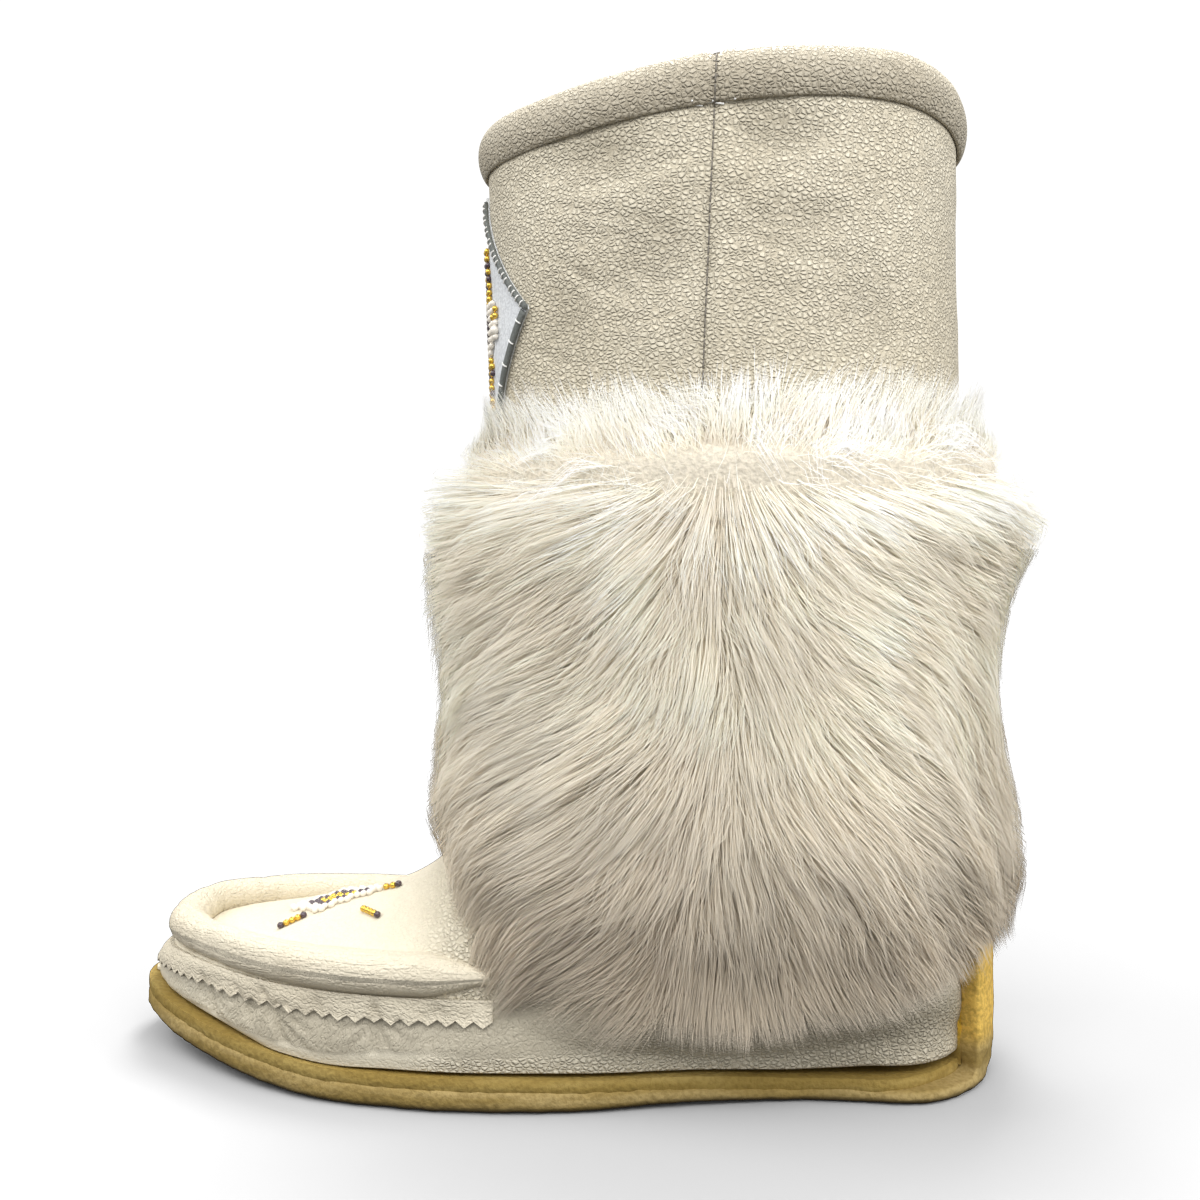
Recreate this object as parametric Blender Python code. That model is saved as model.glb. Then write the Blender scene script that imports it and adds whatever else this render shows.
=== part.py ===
"""A left mukluk boot: white leather moccasin foot and tall shaft, a wide fur cuff and a crepe sole.

Metres, +Z up. The toe points along -X, the outer (lateral) side faces -Y, and the origin is on the floor
under the heel. The sole layers share one bed line, which runs along the foot and turns up the heel. The
upper is one lofted shell, and everything that lies on it is taken from the same loft.
"""

import math

import bmesh
import bpy
from mathutils import Vector
from mathutils.bvhtree import BVHTree

# Foot and leg
SOLE_LENGTH = 0.265
BALL_WIDTH = 0.096
HEEL_WIDTH = 0.070
HEEL_BACK = 0.052
TOE_SPRING = 0.0099
ARCH_LIFT = 0.0010
INSTEP_HEIGHT = 0.053
RIM_HEIGHT = 0.0375
COLLAR_FRONT_HEIGHT = 0.2763
COLLAR_BACK_HEIGHT = 0.2781
COLLAR_ARCH = 0.0061
SHAFT_LENGTH = 0.1364
SHAFT_WIDTH = 0.104
SHAFT_LEAN = 0.0019
THROAT_LEAN = 0.0035

# Sole layers
OUTSOLE_FORE = 0.0070
OUTSOLE_REAR = 0.0042
OUTSOLE_HEEL = 0.0060
MIDSOLE_THICK = 0.0027
MIDSOLE_HEEL = 0.0031
MIDSOLE_INSET = 0.0011
EDGE_BULGE = 0.0009
HEEL_TAB_WIDTH = 0.039
HEEL_TAB_HEIGHT = 0.057
HEEL_TURN = 0.006
HEEL_TUCK = 0.003
INSOLE_THICK = 0.004
INSOLE_HEEL_ROUND = 0.024
INSOLE_TOE_ROUND = 0.030

# Upper and what lies on it
UPPER_WALL = 0.0025
EDGE_INSET = 0.0026
LASTING_MARGIN = 0.012
COLLAR_ROLL_HEIGHT = 0.0125
COLLAR_ROLL_DEPTH = 0.0022
COLLAR_FACING = 0.0012
VAMP_ROLL_RADIUS = 0.0057
BAND_THICK = 0.0012
BAND_HEIGHT = 0.0073
TOOTH_PITCH = 0.0052
TOOTH_DEPTH = 0.0017
PANEL_THICK = 0.0011
PANEL_HALF_WIDTH = 0.030
PANEL_DROP = 0.0153
PANEL_POINT = 0.038
PANEL_CLEAR = 0.0035
FUR_DEPTH = 0.0135
FUR_TOP = 0.1895
FUR_LEAST = 0.0012
LOCK_DROP = 0.014
LOCK_RISE = 0.0055
LOCK_TUCK = 0.0050
LOCK_SWAY = 0.45
LOCKS_ROUND = 20
GAP = 0.0003
OVERLAY_GAP = 0.0005

# Resolution of the meshes
RING_POINTS = 36
STRIP_STEPS = 46

# The sole's outline. along: from the heel's back to the toe, as a share of SOLE_LENGTH. heel and ball: how much
# of the heel's and of the ball's half-width the half-width holds there. centre: to the inner side, in ball widths.
OUTLINE = (
    # along, heel, ball, centre
    (0.006, 0.04, 0.00, 0.000),
    (0.010, 0.28, 0.00, 0.000),
    (0.019, 0.50, 0.00, 0.000),
    (0.036, 0.71, 0.00, 0.000),
    (0.053, 0.84, 0.00, -0.003),
    (0.072, 0.935, 0.00, -0.007),
    (0.098, 1.00, 0.00, -0.012),
    (0.151, 0.97, 0.00, -0.021),
    (0.200, 0.88, 0.04, -0.031),
    (0.253, 0.72, 0.16, -0.044),
    (0.306, 0.54, 0.325, -0.058),
    (0.358, 0.36, 0.50, -0.069),
    (0.408, 0.22, 0.665, -0.069),
    (0.460, 0.11, 0.805, -0.063),
    (0.513, 0.04, 0.905, -0.054),
    (0.562, 0.00, 0.965, -0.046),
    (0.615, 0.00, 0.978, -0.034),
    (0.672, 0.00, 0.975, -0.015),
    (0.728, 0.00, 0.958, 0.006),
    (0.796, 0.00, 0.890, 0.041),
    (0.830, 0.00, 0.834, 0.059),
    (0.868, 0.00, 0.752, 0.080),
    (0.902, 0.00, 0.660, 0.098),
    (0.940, 0.00, 0.530, 0.115),
    (0.970, 0.00, 0.385, 0.124),
    (0.987, 0.00, 0.262, 0.127),
    (0.996, 0.00, 0.150, 0.127),
    (1.000, 0.00, 0.040, 0.127),
)

# Upright sections of the upper, toe to throat. along: the section's place, in shares of SOLE_LENGTH from the
# heel's back. rim: the height where wall turns into plug, in RIM_HEIGHT. dome: how far the plug stands above
# that, in INSTEP_HEIGHT less RIM_HEIGHT. width: half-width in the sole's own. square: how boxy wall and sole are.
VAMP_SECTIONS = (
    # along, rim, dome, width, square
    (0.9870, 0.56, 0.00, 0.40, 2.4),
    (0.9780, 0.72, 0.00, 0.62, 3.0),
    (0.9640, 0.83, 0.02, 0.76, 3.6),
    (0.9400, 0.89, 0.07, 0.86, 4.4),
    (0.9020, 0.92, 0.15, 0.905, 5.0),
    (0.8680, 0.93, 0.24, 0.922, 5.0),
    (0.8220, 0.94, 0.37, 0.935, 5.0),
    (0.7680, 0.96, 0.58, 0.940, 5.0),
    (0.7150, 0.98, 0.80, 0.944, 5.0),
)

# Sections from the throat up the leg, each a tilted plane. run: how far its lower end is along the bed line and
# up the heel. front: how far its upper end is up the front. flare: how far that end still leans out over the
# instep. width: half-width in the shaft's own. low and top: boxiness of its two ends. dome: crown of its top.
LEG_SECTIONS = (
    # run, front, flare, width, low, top, dome
    (0.000, 0.000, 1.00, 0.868, 5.0, 4.2, 0.30),
    (0.041, 0.031, 0.64, 0.866, 5.0, 3.2, 0.30),
    (0.092, 0.080, 0.33, 0.850, 4.8, 2.7, 0.20),
    (0.146, 0.145, 0.14, 0.835, 4.4, 2.4, 0.10),
    (0.206, 0.215, 0.05, 0.830, 3.9, 2.2, 0.04),
    (0.261, 0.280, 0.01, 0.835, 3.5, 2.1, 0.00),
    (0.311, 0.340, 0.00, 0.850, 3.0, 2.0, 0.00),
    (0.350, 0.398, 0.00, 0.870, 2.6, 2.0, 0.00),
    (0.391, 0.452, 0.00, 0.890, 2.3, 2.0, 0.00),
    (0.446, 0.502, 0.00, 0.910, 2.15, 2.0, 0.00),
    (0.515, 0.556, 0.00, 0.930, 2.05, 2.0, 0.00),
    (0.597, 0.622, 0.00, 0.950, 2.0, 2.0, 0.00),
    (0.693, 0.700, 0.01, 0.970, 2.0, 2.0, 0.00),
    (0.808, 0.800, 0.02, 0.985, 2.0, 2.0, 0.00),
    (0.911, 0.902, 0.04, 0.995, 2.0, 2.0, 0.00),
    (1.000, 1.000, 0.06, 1.000, 2.0, 2.0, 0.00),
)

# How the collar's edge arches over the slope from its front to its back. back: the place, as a share of the
# shaft's length from its front. rise: the height above the slope, in COLLAR_ARCH.
COLLAR_CREST = (
    # back, rise
    (0.00, 0.00),
    (0.07, 0.01),
    (0.15, 0.10),
    (0.27, 0.35),
    (0.48, 0.77),
    (0.65, 0.91),
    (0.78, 0.98),
    (0.84, 1.00),
    (0.90, 0.88),
    (0.95, 0.63),
    (0.98, 0.33),
    (1.00, 0.00),
)

# The fur's thickness down its length, in FUR_DEPTH, where it lies at the front, at the sides and at the back.
FUR_ROWS = (
    # down, front, side, back
    (0.00, 0.45, 0.40, 0.75),
    (0.06, 1.42, 0.85, 1.60),
    (0.16, 1.68, 1.00, 1.72),
    (0.32, 1.62, 1.05, 1.18),
    (0.50, 1.55, 1.10, 0.80),
    (0.70, 1.42, 1.20, 0.95),
    (0.86, 1.20, 1.20, 1.18),
    (0.95, 0.75, 1.00, 1.18),
    (1.00, 0.30, 0.70, 1.08),
)

# The tops of the tiers of locks, as shares of the fur's length down from its top.
LOCK_TIERS = (0.00, 0.17, 0.36, 0.56, 0.77)

# The height of the fur's lower edge, in FUR_TOP, by direction round the leg.
FUR_HEM_FRONT = 0.360
FUR_HEM_SIDE = 0.200
FUR_HEM_BACK = 0.268

# The heel is round in plan: the radius of its leather, and the middle of all its arcs.
HEEL_LEATHER = HEEL_BACK - OUTSOLE_HEEL - MIDSOLE_HEEL - 2 * GAP
HEEL_MIDDLE = HEEL_BACK - HEEL_WIDTH / 2
SHAFT_BACK = HEEL_LEATHER - SHAFT_LEAN
SHAFT_CENTRE = SHAFT_BACK - SHAFT_LENGTH / 2
SHAFT_FRONT = SHAFT_BACK - SHAFT_LENGTH
THROAT_ALONG = 0.6566
PANEL_TOP = COLLAR_FRONT_HEIGHT - PANEL_DROP
PANEL_WAIST = PANEL_TOP - PANEL_POINT
PANEL_BOTTOM = FUR_TOP + PANEL_CLEAR

LEATHER = ("leather", (0.86, 0.83, 0.75), 0.45)
TRIM = ("trim_leather", (0.84, 0.80, 0.71), 0.45)
SUEDE = ("panel_leather", (0.80, 0.80, 0.78), 0.75)
CREPE = ("crepe", (0.62, 0.46, 0.20), 0.85)
FOAM = ("midsole", (0.60, 0.38, 0.06), 0.70)
FELT = ("felt", (0.80, 0.77, 0.70), 0.95)
FUR = ("fur", (0.92, 0.89, 0.82), 0.90)


def look_up(rows, key):
    """The row at a key, smoothly between the table's rows. A row's first column is its key."""
    if rows[0][0] > rows[-1][0]:
        rows = rows[::-1]
    key = min(max(key, rows[0][0]), rows[-1][0])
    i = max(j for j in range(len(rows) - 1) if rows[j][0] <= key)
    before, low, high, after = (rows[min(max(j, 0), len(rows) - 1)] for j in (i - 1, i, i + 1, i + 2))
    step = high[0] - low[0]
    t = (key - low[0]) / step
    found = []
    for column in range(1, len(low)):
        a, b = low[column], high[column]
        slope = (b - a) / step
        enter = _tangent(a - before[column], low[0] - before[0], slope)
        leave = _tangent(after[column] - b, after[0] - high[0], slope)
        found.append(
            a * (2 * t**3 - 3 * t**2 + 1)
            + b * (3 * t**2 - 2 * t**3)
            + step * (enter * (t**3 - 2 * t**2 + t) + leave * (t**3 - t**2))
        )
    return found


def _tangent(rise, run, slope):
    """A slope at a table row that never makes the curve overshoot its neighbours."""
    if run <= 0 or rise * slope <= 0:
        return 0.0 if run > 0 else slope
    other = rise / run
    return 2 * other * slope / (other + slope)


def ease(t):
    """0 to 1 with soft ends."""
    t = min(max(t, 0.0), 1.0)
    return t * t * (3 - 2 * t)


def sole_x(along):
    return HEEL_BACK - along * SOLE_LENGTH


def sole_along(x):
    return (HEEL_BACK - x) / SOLE_LENGTH


def outline(along):
    """(centre, half-width) of the sole at a place along it."""
    heel, ball, centre = look_up(OUTLINE, along)
    return centre * BALL_WIDTH, heel * HEEL_WIDTH / 2 + ball * BALL_WIDTH / 2


def floor_height(along):
    """The outsole's underside: flat at heel and ball, lifted at the arch and sprung at the toe."""
    spring_from, arch_from, arch_to = 0.70, 0.215, 0.47
    rise = 0.0
    if along > spring_from:
        rise = TOE_SPRING * ((along - spring_from) / (1 - spring_from)) ** 1.6
    if arch_from < along < arch_to:
        rise = ARCH_LIFT * math.sin(math.pi * (along - arch_from) / (arch_to - arch_from)) ** 2
    return rise


def outsole_thickness(along):
    return OUTSOLE_REAR + (OUTSOLE_FORE - OUTSOLE_REAR) * ease((along - 0.20) / 0.36)


def bed_height(along):
    """Top of the midsole, which the upper stands on."""
    return floor_height(along) + outsole_thickness(along) + GAP + MIDSOLE_THICK


def heel_line(height):
    """x of the leather's back on the middle line: a small arc at the bed, then upright."""
    up = height - bed_height(0.0)
    if up >= HEEL_TURN:
        return HEEL_LEATHER
    return HEEL_LEATHER - HEEL_TURN + math.sqrt(HEEL_TURN**2 - (HEEL_TURN - max(up, 0.0)) ** 2)


def new_object(name, mesh, material, smooth=35.0):
    """A named object with its own material, shaded smooth below an angle in degrees."""
    label, colour, roughness = material
    surface = bpy.data.materials.get(label) or bpy.data.materials.new(label)
    surface.use_nodes = True
    shader = surface.node_tree.nodes["Principled BSDF"]
    shader.inputs["Base Color"].default_value = (*colour, 1.0)
    shader.inputs["Roughness"].default_value = roughness
    shader.inputs["Metallic"].default_value = 0.0
    obj = bpy.data.objects.new(name, mesh)
    bpy.context.scene.collection.objects.link(obj)
    mesh.materials.append(surface)
    mesh.shade_smooth()
    mesh.set_sharp_from_angle(angle=math.radians(smooth))
    return obj


def mesh_of(name, points, faces):
    mesh = bpy.data.meshes.new(name)
    mesh.from_pydata([tuple(p) for p in points], [], faces)
    mesh.update()
    return mesh


def loft(rings, cap_start=True, cap_end=True, ring_closed=False):
    """(points, faces) of closed loops joined in turn. Loops have the same number of points."""
    count = len(rings[0])
    points = [p for ring in rings for p in ring]
    faces = []
    pairs = [(i, i + 1) for i in range(len(rings) - 1)]
    if ring_closed:
        pairs.append((len(rings) - 1, 0))
    for a, b in pairs:
        for j in range(count):
            k = (j + 1) % count
            faces.append((a * count + j, a * count + k, b * count + k, b * count + j))
    if not ring_closed:
        if cap_start:
            faces.append(tuple(range(count - 1, -1, -1)))
        if cap_end:
            last = (len(rings) - 1) * count
            faces.append(tuple(range(last, last + count)))
    return points, faces


def outward(mesh):
    """Turns a closed mesh's faces out, and cuts its large end faces into triangles."""
    shape = bmesh.new()
    shape.from_mesh(mesh)
    bmesh.ops.recalc_face_normals(shape, faces=shape.faces)
    if shape.calc_volume(signed=True) < 0:
        bmesh.ops.reverse_faces(shape, faces=shape.faces)
    shape.to_mesh(mesh)
    shape.free()
    return mesh


def plate_stations(last):
    """The places along the sole where a plate has a section, close together at both round ends."""
    toe_steps, flat_steps, heel_steps = 9, 15, 8
    toe_from, heel_from = 0.89, 0.11
    toe = [toe_from + (1 - toe_from) * math.cos(math.pi / 2 * i / toe_steps) for i in range(toe_steps)]
    flat = [toe_from + (heel_from - toe_from) * i / flat_steps for i in range(flat_steps)]
    heel = [heel_from - (heel_from - last) * math.sin(math.pi / 2 * i / heel_steps) for i in range(heel_steps + 1)]
    return toe + flat + heel


def sole_plate(name, top, thickness, width, last, across=2):
    """A flat layer of the sole. top and thickness take (along) and give metres, and width gives (centre, half)."""
    rings = []
    for along in plate_stations(last):
        centre, half = width(along)
        bulge = min(EDGE_BULGE, half * 0.2)
        high = top(along)
        low = high - thickness(along)
        x = sole_x(along)
        spots = [centre + half * (2 * j / across - 1) for j in range(across + 1)]
        ring = [(x, y, high) for y in spots]
        ring.append((x, centre + half + bulge, (high + low) / 2))
        ring += [(x, y, low) for y in reversed(spots)]
        ring.append((x, centre - half - bulge, (high + low) / 2))
        rings.append(ring)
    return outward(mesh_of(name, *loft(rings)))


def heel_tab(name, inner, outer, low, grow=0.0):
    """The part of a layer that turns up the heel. inner and outer take a height and give radii about the
    heel's middle. low is where its foot is, inside the plate. grow widens and heightens it."""
    rows, across = 9, 6
    rings = []
    for i in range(rows + 1):
        summit = HEEL_TAB_HEIGHT + grow
        height = low + (summit - low) * math.sin(math.pi / 2 * i / rows)
        half = HEEL_TAB_WIDTH / 2 + grow
        round_from = summit - 0.62 * HEEL_TAB_WIDTH
        if height > round_from:
            share = (height - round_from) / (summit - round_from)
            half *= math.sqrt(max(1 - share**2.4, 0.03))
        sweep = half / (HEEL_WIDTH / 2 - OUTSOLE_HEEL)
        ring = []
        for radius, order in ((inner(height), 1), (outer(height), -1)):
            for j in range(across + 1):
                angle = order * sweep * (2 * j / across - 1)
                ring.append((
                    HEEL_MIDDLE + radius * math.cos(angle),
                    radius * math.sin(angle),
                    height,
                ))
        rings.append(ring)
    return outward(mesh_of(name, *loft(rings)))


def fuse(obj, name, mesh):
    """Adds a closed mesh to an object."""
    extra = bpy.data.objects.new(name, mesh)
    bpy.context.scene.collection.objects.link(extra)
    extra.hide_render = True
    extra.display_type = "WIRE"
    join = obj.modifiers.new(name, "BOOLEAN")
    join.operation = "UNION"
    join.object = extra
    join.use_self = True


def make_outsole():
    def top(along):
        return floor_height(along) + outsole_thickness(along)

    plate = new_object("outsole", sole_plate("outsole", top, outsole_thickness, outline, 0.006), CREPE)

    def outer(height):
        tuck = max(1 - height / HEEL_TURN, 0.0)
        return HEEL_WIDTH / 2 - HEEL_TUCK * tuck**2

    tab = heel_tab("outsole_tab", lambda height: HEEL_WIDTH / 2 - OUTSOLE_HEEL, outer, OUTSOLE_REAR * 0.3)
    fuse(plate, "cutter_outsole_tab", tab)
    return plate


def make_midsole():
    back = HEEL_WIDTH / 2 - OUTSOLE_HEEL - GAP

    def width(along):
        centre, half = outline(along)
        half = max(half - MIDSOLE_INSET, MIDSOLE_INSET)
        past = sole_x(along) - HEEL_MIDDLE
        if past > 0:
            share = min(past / back, 0.999)
            half = min(half, (HEEL_WIDTH / 2 - MIDSOLE_INSET) * (1 - share**1.64) ** (1 / 1.64))
            centre *= 1 - share
        return centre, half

    last = sole_along(HEEL_MIDDLE + back)
    mesh = sole_plate("midsole", bed_height, lambda along: MIDSOLE_THICK, width, last)
    plate = new_object("midsole", mesh, FOAM)
    base = bed_height(0.0)
    tab = heel_tab(
        "midsole_tab", lambda height: back - 2 * MIDSOLE_HEEL, lambda height: back - 0.5 * GAP,
        base - MIDSOLE_THICK * 0.7,
    )
    fuse(plate, "cutter_midsole_tab", tab)
    cut_by_upper(plate, 0.8 * GAP)
    return plate


def resample(points, count):
    """The closed loop through points, as count points: about evenly spaced, but closer where points are."""
    even_share = 0.55
    loop = list(points) + [points[0]]
    reach = [0.0]
    for a, b in zip(loop, loop[1:]):
        reach.append(reach[-1] + (b - a).length)
    length = reach[-1]
    reach = [even_share * r / length + (1 - even_share) * i / len(points) for i, r in enumerate(reach)]
    found, j = [], 0
    for i in range(count):
        goal = i / count
        while reach[j + 1] < goal:
            j += 1
        t = (goal - reach[j]) / (reach[j + 1] - reach[j])
        found.append(loop[j].lerp(loop[j + 1], t))
    return found


def section(low_end, high_end, half, low, top, dome, centre, crest_centre):
    """One closed section of the upper, in the plane of its two ends and the Y axis.

    low and top are superellipse powers, and dome is how much of its height is a soft crown."""
    steps = 24
    widest = 0.42
    span = high_end - low_end
    loop = []
    for i in range(4 * steps):
        angle = -math.pi / 2 + 2 * math.pi * i / (4 * steps)
        up, side = math.sin(angle), math.cos(angle)
        power = top if up > 0 else low
        share = abs(up) ** (2 / power)
        y = math.copysign(abs(side) ** (2 / power), side)
        if up > 0:
            rise = widest + (1 - dome - widest) * share + dome * (1 - y * y)
        else:
            rise = widest * (1 - share)
        middle = centre + (crest_centre - centre) * rise
        point = low_end + span * rise
        loop.append(Vector((point.x, middle - y * half, point.z)))
    return resample(loop, RING_POINTS)


def arched(ring, arch):
    """A leg section with its sides lifted by up to arch, as the collar's crest is."""
    front, back = min(p.x for p in ring), max(p.x for p in ring)
    shares = ((p.x - front) / (back - front) for p in ring)
    return [p + Vector((0.0, 0.0, arch * look_up(COLLAR_CREST, share)[0])) for p, share in zip(ring, shares)]


def leg_line(run):
    """The lower end of a leg section: along the bed from the throat, round the heel and up to the collar."""
    throat = sole_x(THROAT_ALONG)
    base = bed_height(0.0)
    flat_length = HEEL_LEATHER - HEEL_TURN - throat
    turn_length = HEEL_TURN * math.pi / 2
    total = flat_length + turn_length + COLLAR_BACK_HEIGHT - base - HEEL_TURN
    reach = run * total
    if reach <= flat_length:
        x = throat + reach
        return Vector((x, 0.0, bed_height(sole_along(x)) + GAP))
    reach -= flat_length
    if reach <= turn_length:
        height = base + HEEL_TURN * (1 - math.cos(reach / HEEL_TURN))
        return Vector((heel_line(height) - GAP, 0.0, height + GAP))
    height = base + HEEL_TURN + reach - turn_length
    lean = ease((height - HEEL_TAB_HEIGHT) / (COLLAR_BACK_HEIGHT - HEEL_TAB_HEIGHT))
    return Vector((HEEL_LEATHER - GAP + (SHAFT_BACK - HEEL_LEATHER + GAP) * lean, 0.0, height))


def upper_rings():
    """The upper's outside, toe to collar."""
    rings = []
    for along, rim, dome, width, square in VAMP_SECTIONS:
        centre, half = outline(along)
        x, base = sole_x(along), bed_height(along) + GAP
        crest = RIM_HEIGHT * rim + (INSTEP_HEIGHT - RIM_HEIGHT) * dome
        crown = (INSTEP_HEIGHT - RIM_HEIGHT) * dome / (crest - base)
        low_end, high_end = Vector((x, 0.0, base)), Vector((x, 0.0, crest))
        rings.append(section(low_end, high_end, half * width, square + 2, square, crown, centre, centre))
    throat = sole_x(THROAT_ALONG) - THROAT_LEAN
    for run, front, flare, width, low, top, dome in LEG_SECTIONS:
        low_end = leg_line(run)
        high_end = Vector((
            SHAFT_FRONT + (throat - SHAFT_FRONT) * flare,
            0.0,
            INSTEP_HEIGHT + (COLLAR_FRONT_HEIGHT - INSTEP_HEIGHT) * front,
        ))
        centre = outline(sole_along(low_end.x))[0] * (1 - ease((run - 0.2) / 0.2))
        ring = section(low_end, high_end, width * SHAFT_WIDTH / 2, low, top, dome, centre, 0.0)
        rings.append(arched(ring, COLLAR_ARCH * ease((run - 0.55) / 0.45)))
    return rings


def upper_shape(closed):
    """The upper's outside as a mesh of triangles. closed puts an end over the collar."""
    mesh = mesh_of("upper", *loft(upper_rings()))
    shape = bmesh.new()
    shape.from_mesh(mesh)
    shape.faces.ensure_lookup_table()
    collar_end = shape.faces[-1]
    toe_end = shape.faces[-2]
    bmesh.ops.recalc_face_normals(shape, faces=shape.faces)
    if shape.calc_volume(signed=True) < 0:
        bmesh.ops.reverse_faces(shape, faces=shape.faces)
    if not closed:
        bmesh.ops.delete(shape, geom=[collar_end], context="FACES_ONLY")
    bmesh.ops.poke(shape, faces=[toe_end])
    bmesh.ops.triangulate(shape, faces=shape.faces, quad_method="SHORT_EDGE")
    shape.normal_update()
    return shape


def upper_form(grow=0.0):
    """The closed outer form of the upper, grown by a distance. It is what overlays lie on."""
    shape = upper_shape(closed=True)
    moves = [(vert, vert.normal * grow) for vert in shape.verts]
    for vert, move in moves:
        vert.co += move
    return shape


def make_upper():
    """The shell, open at the collar and underneath, with its edge turned in over the sole by a margin."""
    shape = upper_shape(closed=False)
    under = []
    for face in shape.faces:
        spot = face.calc_center_median()
        along = sole_along(spot.x)
        centre, half = outline(along)
        inside = abs(spot.y - centre) < half - EDGE_INSET - LASTING_MARGIN
        if inside and 0.09 < along < 0.90 and spot.z < bed_height(along) + 4 * GAP:
            under.append(face)
    bmesh.ops.delete(shape, geom=under, context="FACES")
    mesh = bpy.data.meshes.new("upper")
    shape.to_mesh(mesh)
    shape.free()
    obj = new_object("upper", mesh, LEATHER)
    wall = obj.modifiers.new("Wall", "SOLIDIFY")
    wall.thickness = UPPER_WALL
    wall.offset = -1.0
    wall.use_even_offset = True
    wall.use_rim = True
    return obj


def make_insole(upper):
    """A felt insole on the upper's turned-in margin, as wide at each height as the inside of the shell."""
    stations = 28
    clearance = 2 * OVERLAY_GAP
    inside = BVHTree.FromObject(upper, bpy.context.evaluated_depsgraph_get())

    def wall(along, height, direction):
        """How far the inside of the shell is from the insole's middle line, at a height above the bed."""
        start = Vector((sole_x(along), outline(along)[0], bed_height(along) + height))
        return inside.ray_cast(start, Vector(direction))[3]

    low = 3 * GAP + UPPER_WALL
    first = 0.82 + (wall(0.82, low + INSOLE_THICK, (-1.0, 0.0, 0.0)) - 2 * clearance) / SOLE_LENGTH
    last = 0.20 - (wall(0.20, low, (1.0, 0.0, 0.0)) - 2 * clearance) / SOLE_LENGTH
    # height in INSOLE_THICK
    levels = (0.0, 0.2, 0.5, 1.0)
    # along: the walls of the neighbouring places count too
    nearby = (-0.024, -0.012, 0.0, 0.012, 0.024)
    rings = []
    for i in range(stations + 1):
        along = first + (last - first) * (0.5 - 0.5 * math.cos(math.pi * i / stations))
        x, centre = sole_x(along), outline(along)[0]
        lift = bed_height(along) + low
        from_heel = (along - last) * SOLE_LENGTH + 2 * GAP
        from_toe = (first - along) * SOLE_LENGTH + 2 * GAP
        widest = BALL_WIDTH
        for reach, radius in ((from_heel, INSOLE_HEEL_ROUND), (from_toe, INSOLE_TOE_ROUND)):
            if reach < radius:
                widest = min(widest, math.sqrt(radius**2 - (radius - reach) ** 2))
        sides = {-1: [], 1: []}
        for level in levels:
            for side, found in sides.items():
                beam = low + level * INSOLE_THICK - 0.4 * GAP
                spots = [min(max(along + d, last), first) for d in nearby]
                room = min(wall(spot, beam, (0.0, side, 0.0)) for spot in spots) - clearance
                found.append((x, centre + side * min(room, widest), lift + level * INSOLE_THICK))
        rings.append([*sides[-1][::-1], (x, centre, lift), *sides[1], (x, centre, lift + INSOLE_THICK)])
    mesh = outward(mesh_of("insole", *loft(rings)))
    return new_object("insole", mesh, FELT)


class Skin:
    """The upper's outside at a distance from it, met by rays from outside."""

    def __init__(self, grow):
        shape = upper_form(grow)
        self.tree = BVHTree.FromBMesh(shape)
        shape.free()

    def hit(self, target, direction):
        """The outermost point of the skin on the ray from target outwards."""
        far = Vector(target) + Vector(direction).normalized() * SOLE_LENGTH
        point, normal, _, _ = self.tree.ray_cast(far, -Vector(direction), SOLE_LENGTH)
        if point is None:
            return Vector(target), Vector(direction).normalized()
        return point, normal

    def round_leg(self, angle, height):
        """The skin's point at a direction round the leg, 0 at the back and pi at the front."""
        out = Vector((math.cos(angle), -math.sin(angle), 0.0))
        return self.hit((SHAFT_CENTRE, 0.0, height), out)


def make_collar_roll():
    """The rolled top edge: fat outside the shaft, over its edge and a little way down inside."""
    # (out, up) from the outside of the upper's edge. out is in COLLAR_ROLL_DEPTH outside, and as a share of the
    # wall with its facing inside. up is in COLLAR_ROLL_HEIGHT.
    profile = (
        (0.35, -0.88), (0.95, -0.76), (1.12, -0.44), (1.00, -0.12), (0.50, 0.11), (-0.30, 0.155), (-0.92, 0.04),
        (-1.00, -0.34),
    )
    # (out, up) in metres: the slot that the upper's edge stands in
    slot_in = -UPPER_WALL - OVERLAY_GAP
    inside = -slot_in + COLLAR_FACING
    slot = (
        (slot_in, -0.36 * COLLAR_ROLL_HEIGHT), (slot_in, OVERLAY_GAP), (GAP, OVERLAY_GAP),
        (GAP, -0.80 * COLLAR_ROLL_HEIGHT),
    )
    edge = upper_rings()[-1]
    rings = []
    for i, corner in enumerate(edge):
        before = (corner - edge[i - 1]).to_2d().normalized()
        after = (edge[(i + 1) % len(edge)] - corner).to_2d().normalized()
        along = (before + after).normalized()
        reach = 1 / along.dot(after)
        out = Vector((along.y, -along.x, 0.0))
        if out.dot(corner - Vector((SHAFT_CENTRE, 0.0, corner.z))) < 0:
            out = -out
        spots = [(a * (COLLAR_ROLL_DEPTH if a > 0 else inside), b * COLLAR_ROLL_HEIGHT) for a, b in profile]
        spots += slot
        rings.append([corner + out * (a * reach) + Vector((0.0, 0.0, b)) for a, b in spots])
    mesh = outward(mesh_of("collar_roll", *loft(rings, ring_closed=True)))
    return new_object("collar_roll", mesh, TRIM)


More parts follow.
